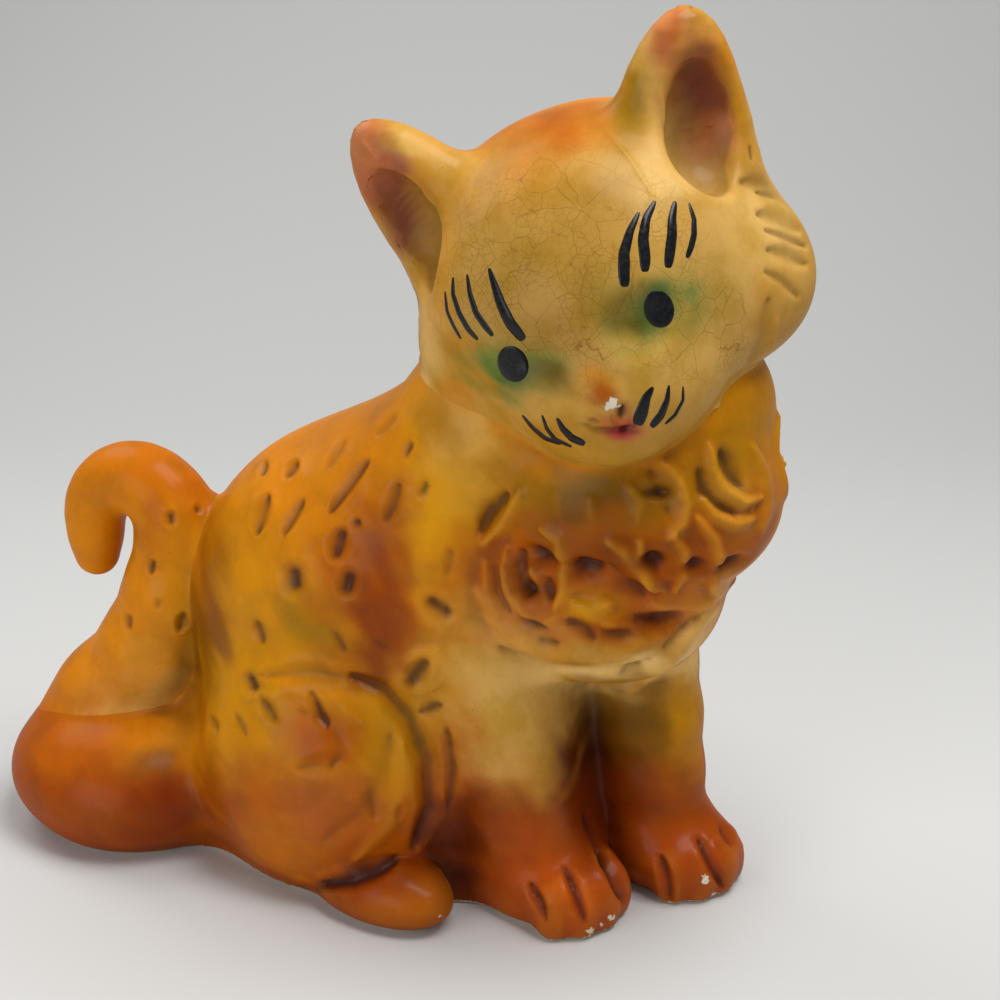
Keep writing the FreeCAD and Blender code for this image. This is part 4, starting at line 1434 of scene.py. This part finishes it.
# %% Painted plaster
def painted_plaster():
    """Airbrushed, varnished plaster: a mottled coat, crazed varnish, and bare plaster where it chipped."""
    material, tree, place = new_material("painted_plaster")
    paint = add_node(tree, "ShaderNodeAttribute", attribute_name="paint").outputs["Color"]
    bare = add_node(tree, "ShaderNodeAttribute", attribute_name="bare").outputs["Fac"]
    crazed = add_node(tree, "ShaderNodeAttribute", attribute_name="crazed").outputs["Fac"]

    # Cloudy unevenness of a sprayed coat, about 12 mm across, so large areas don't look flat
    cloud = noise(tree, place, 1 / 12, detail=5.0, Roughness=0.6)
    darker = add_node(tree, "ShaderNodeHueSaturation", {"Color": paint}, Saturation=1.15, Value=0.70)
    darker = darker.outputs["Color"]
    coat = mixed(tree, ranged(tree, cloud, 0.42, 0.68, 0.0, 0.65), paint, darker)
    # Spatter of the airbrush, under half a millimetre, which gives the dusty look close up
    spatter = noise(tree, place, 2.2, detail=2.0)
    coat = mixed(tree, ranged(tree, spatter, 0.60, 0.78, 0.0, 0.30), coat, darker)
    # Dirt specks that stuck in the varnish
    specks = add_node(tree, "ShaderNodeTexVoronoi", {"Vector": place}, Scale=per_mm(1 / 7))
    speck = ranged(tree, specks.outputs["Distance"], 0.035, 0.025, 0.0, 0.7)
    coat = mixed(tree, speck, coat, colour(UMBER))

    # Crazing: fine cells about 2 mm across inside coarser ones of 9 mm, as on old varnish
    wobble = add_node(tree, "ShaderNodeTexNoise", {"Vector": place}, Scale=per_mm(1 / 3), Detail=2.0)
    ends = {"Color1": place, "Color2": wobble.outputs["Color"]}
    bent = add_node(tree, "ShaderNodeMixRGB", ends, Fac=0.0015).outputs[0]
    patch = ranged(tree, noise(tree, place, 1 / 14, detail=1.0), 0.42, 0.55)
    fine = ranged(tree, cell_edges(tree, bent, 2.4), 0.045, 0.0, 0.0, 0.5)
    coarse = ranged(tree, cell_edges(tree, bent, 9), 0.014, 0.0, 0.0, 0.6)
    cracks = worked(tree, "MAXIMUM", worked(tree, "MULTIPLY", fine, patch), coarse)
    cracks = worked(tree, "MULTIPLY", cracks, crazed)
    coat = mixed(tree, cracks, coat, colour(UMBER))

    # Chips: the stored wear is broken up by a grain, so their edges are ragged
    grain = noise(tree, place, 1.1, detail=4.0)
    chip = ranged(tree, worked(tree, "ADD", bare, grain), 1.0, 1.12)
    skin = mixed(tree, chip, coat, colour(PLASTER))

    # The varnish is fuller in some places than others; plaster that shows is dry
    gloss = ranged(tree, cloud, 0.3, 0.7, 0.05, 0.24)
    sealed = ranged(tree, chip, 0.0, 1.0, 1.0, 0.0)
    # The spatter and the cracks can be felt, so the light catches them
    relief = worked(tree, "SUBTRACT", spatter, cracks)
    bump = add_node(tree, "ShaderNodeBump", {"Height": relief}, Strength=0.25, Distance=0.10 * MM)
    finish(tree, {
        "Base Color": skin,
        "Roughness": ranged(tree, chip, 0.0, 1.0, 0.55, 0.9),
        "Coat Weight": worked(tree, "MULTIPLY", gloss, sealed),
        "Normal": bump.outputs["Normal"],
    }, Coat_Roughness=0.22, Specular_IOR_Level=0.05)
    return material


# %% The other finishes
def black_enamel():
    """Thick gloss enamel: near black, with a soft sheen that shows its rounded edge."""
    material, tree, place = new_material("black_enamel")
    # The brush pulled the enamel thin in places, which then look greyer and less glossy
    pull = noise(tree, place, 0.8, detail=2.0)
    finish(tree, {
        "Base Color": mixed(tree, ranged(tree, pull, 0.45, 0.75), colour(BLACK), colour(BLACK_SHEEN)),
        "Roughness": ranged(tree, pull, 0.3, 0.7, 0.12, 0.30),
    }, Specular_IOR_Level=0.25)
    return material


def dry_plaster():
    """Unpainted plaster: chalky white with fine pores, matt."""
    material, tree, place = new_material("dry_plaster")
    # Pores about a millimetre apart break up the white and catch the light
    pores = noise(tree, place, 0.9, detail=4.0)
    bump = add_node(tree, "ShaderNodeBump", {"Height": pores}, Strength=0.4, Distance=0.2 * MM)
    finish(tree, {
        "Base Color": mixed(tree, ranged(tree, pores, 0.45, 0.7), colour(PLASTER), colour(PORES)),
        "Normal": bump.outputs["Normal"],
    }, Roughness=0.9)
    return material


def iron_wire():
    """Drawn iron wire that has rusted in patches in the damp plaster."""
    material, tree, place = new_material("iron_wire")
    # Brown matt rust in patches of 3 mm takes the shine off the grey metal
    rusted = ranged(tree, noise(tree, place, 0.3, detail=4.0), 0.45, 0.60)
    finish(tree, {
        "Base Color": mixed(tree, rusted, colour(IRON), colour(IRON_RUST)),
        "Metallic": ranged(tree, rusted, 0.0, 1.0, 1.0, 0.0),
    }, Roughness=0.55)
    return material


PAINTED, ENAMEL = painted_plaster(), black_enamel()
for piece in (torso, head, tail):
    piece.data.materials.append(PAINTED)
for piece in (strokes, pupils):
    piece.data.materials.append(ENAMEL)
for node, inner in (("base_plug", dry_plaster()), ("tail_wire", iron_wire())):
    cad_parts[node].data.materials.clear()
    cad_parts[node].data.materials.append(inner)
print("materials:", [material.name for material in bpy.data.materials])

# %% [markdown]
# ## Into the frame
# The pieces are brought from millimetres to the frame's metres, shaded smooth, and set on the
# castings that they stand for.

# %% Fixing the pieces
for piece, slot_name, node in (
    (torso, "torso_plaster", "torso_casting"),
    (head, "head_plaster", "head_casting"),
    (tail, "tail_plaster", "tail_casting"),
    (strokes, "head_plaster", None),
    (pupils, "head_plaster", None),
):
    piece.data.transform(Matrix.Scale(MM, 4))
    piece.data.shade_smooth()
    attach(piece, "root")
    if node:
        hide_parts(node)
    print(piece.name, "has", len(piece.data.polygons), "faces")

# %% [markdown]
# ## The studio
# A pale sheet runs from the table up behind the figure. One broad soft light hangs over the
# figure's front. A weaker one lights its back from the left, and a third fills from the camera's
# left, at a level that keeps the colours about as written.

# %% Sheet and lights
SHEET_HALF, SHEET_CELLS = 1600, 60
SHEET_CURVE_FROM, SHEET_CURVE_RADIUS = 420, 500
SHEET_COLOUR = "CACAC8"
# Name, place, side and power of each lamp
LAMPS = (
    ("key", (290, -40, 850), 500, 7.0),
    ("rear", (-480, 120, 600), 400, 1.5),
    ("fill", (-300, -820, 300), 600, 2.8),
)
WORLD_WHITE, WORLD_STRENGTH = (1.0, 1.0, 1.0, 1.0), 0.30


def studio_sheet():
    """A flat sheet whose far part is bent up to stand behind the figure."""
    form = bmesh.new()
    bmesh.ops.create_grid(form, x_segments=SHEET_CELLS, y_segments=SHEET_CELLS, size=SHEET_HALF)
    for vertex in form.verts:
        beyond = vertex.co.y - SHEET_CURVE_FROM
        if beyond > 0:
            angle = min(beyond / SHEET_CURVE_RADIUS, math.pi / 2)
            left = beyond - angle * SHEET_CURVE_RADIUS
            vertex.co.y = SHEET_CURVE_FROM + SHEET_CURVE_RADIUS * math.sin(angle)
            vertex.co.z = SHEET_CURVE_RADIUS * (1 - math.cos(angle)) + left
    form.transform(Matrix.Rotation(CAMERA_AZIMUTH, 4, "Z"))
    form.transform(Matrix.Scale(MM, 4))
    made = object_of(form, "studio_sheet")
    made.data.shade_smooth()
    return made


def soft_light(name, place, side, watts):
    """A square soft light that looks at the figure."""
    lamp = bpy.data.objects.new(name, bpy.data.lights.new(name, "AREA"))
    lamp.data.size = side * MM
    lamp.data.energy = watts
    lamp.location = Vector(place) * MM
    towards = Vector(CAMERA_TARGET) * MM - lamp.location
    lamp.rotation_euler = towards.to_track_quat("-Z", "Y").to_euler()
    bpy.context.scene.collection.objects.link(lamp)


sheet = studio_sheet()
paper, paper_tree, _ = new_material("studio_paper")
# Matt card, so the floor takes the figure's shadow and no shine
finish(paper_tree, None, Base_Color=colour(SHEET_COLOUR), Roughness=0.8)
sheet.data.materials.append(paper)
sheet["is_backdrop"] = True

for lamp in LAMPS:
    soft_light(*lamp)
world = bpy.data.worlds.new("studio")
world.use_nodes = True
background = world.node_tree.nodes["Background"]
background.inputs["Color"].default_value = WORLD_WHITE
background.inputs["Strength"].default_value = WORLD_STRENGTH
bpy.context.scene.world = world
print("the sheet has", len(sheet.data.polygons), "faces, under", len(LAMPS), "lamps")

# %% [markdown]
# ## Checking the size
# The CAD's box and the finished box are written side by side.

# %% Finish
shown_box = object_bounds()
for low_or_high, cad, shown in zip(("lowest", "highest"), cad_box, shown_box):
    print(low_or_high, "corner, CAD and shown:", [round(x, 4) for x in cad], [round(x, 4) for x in shown])
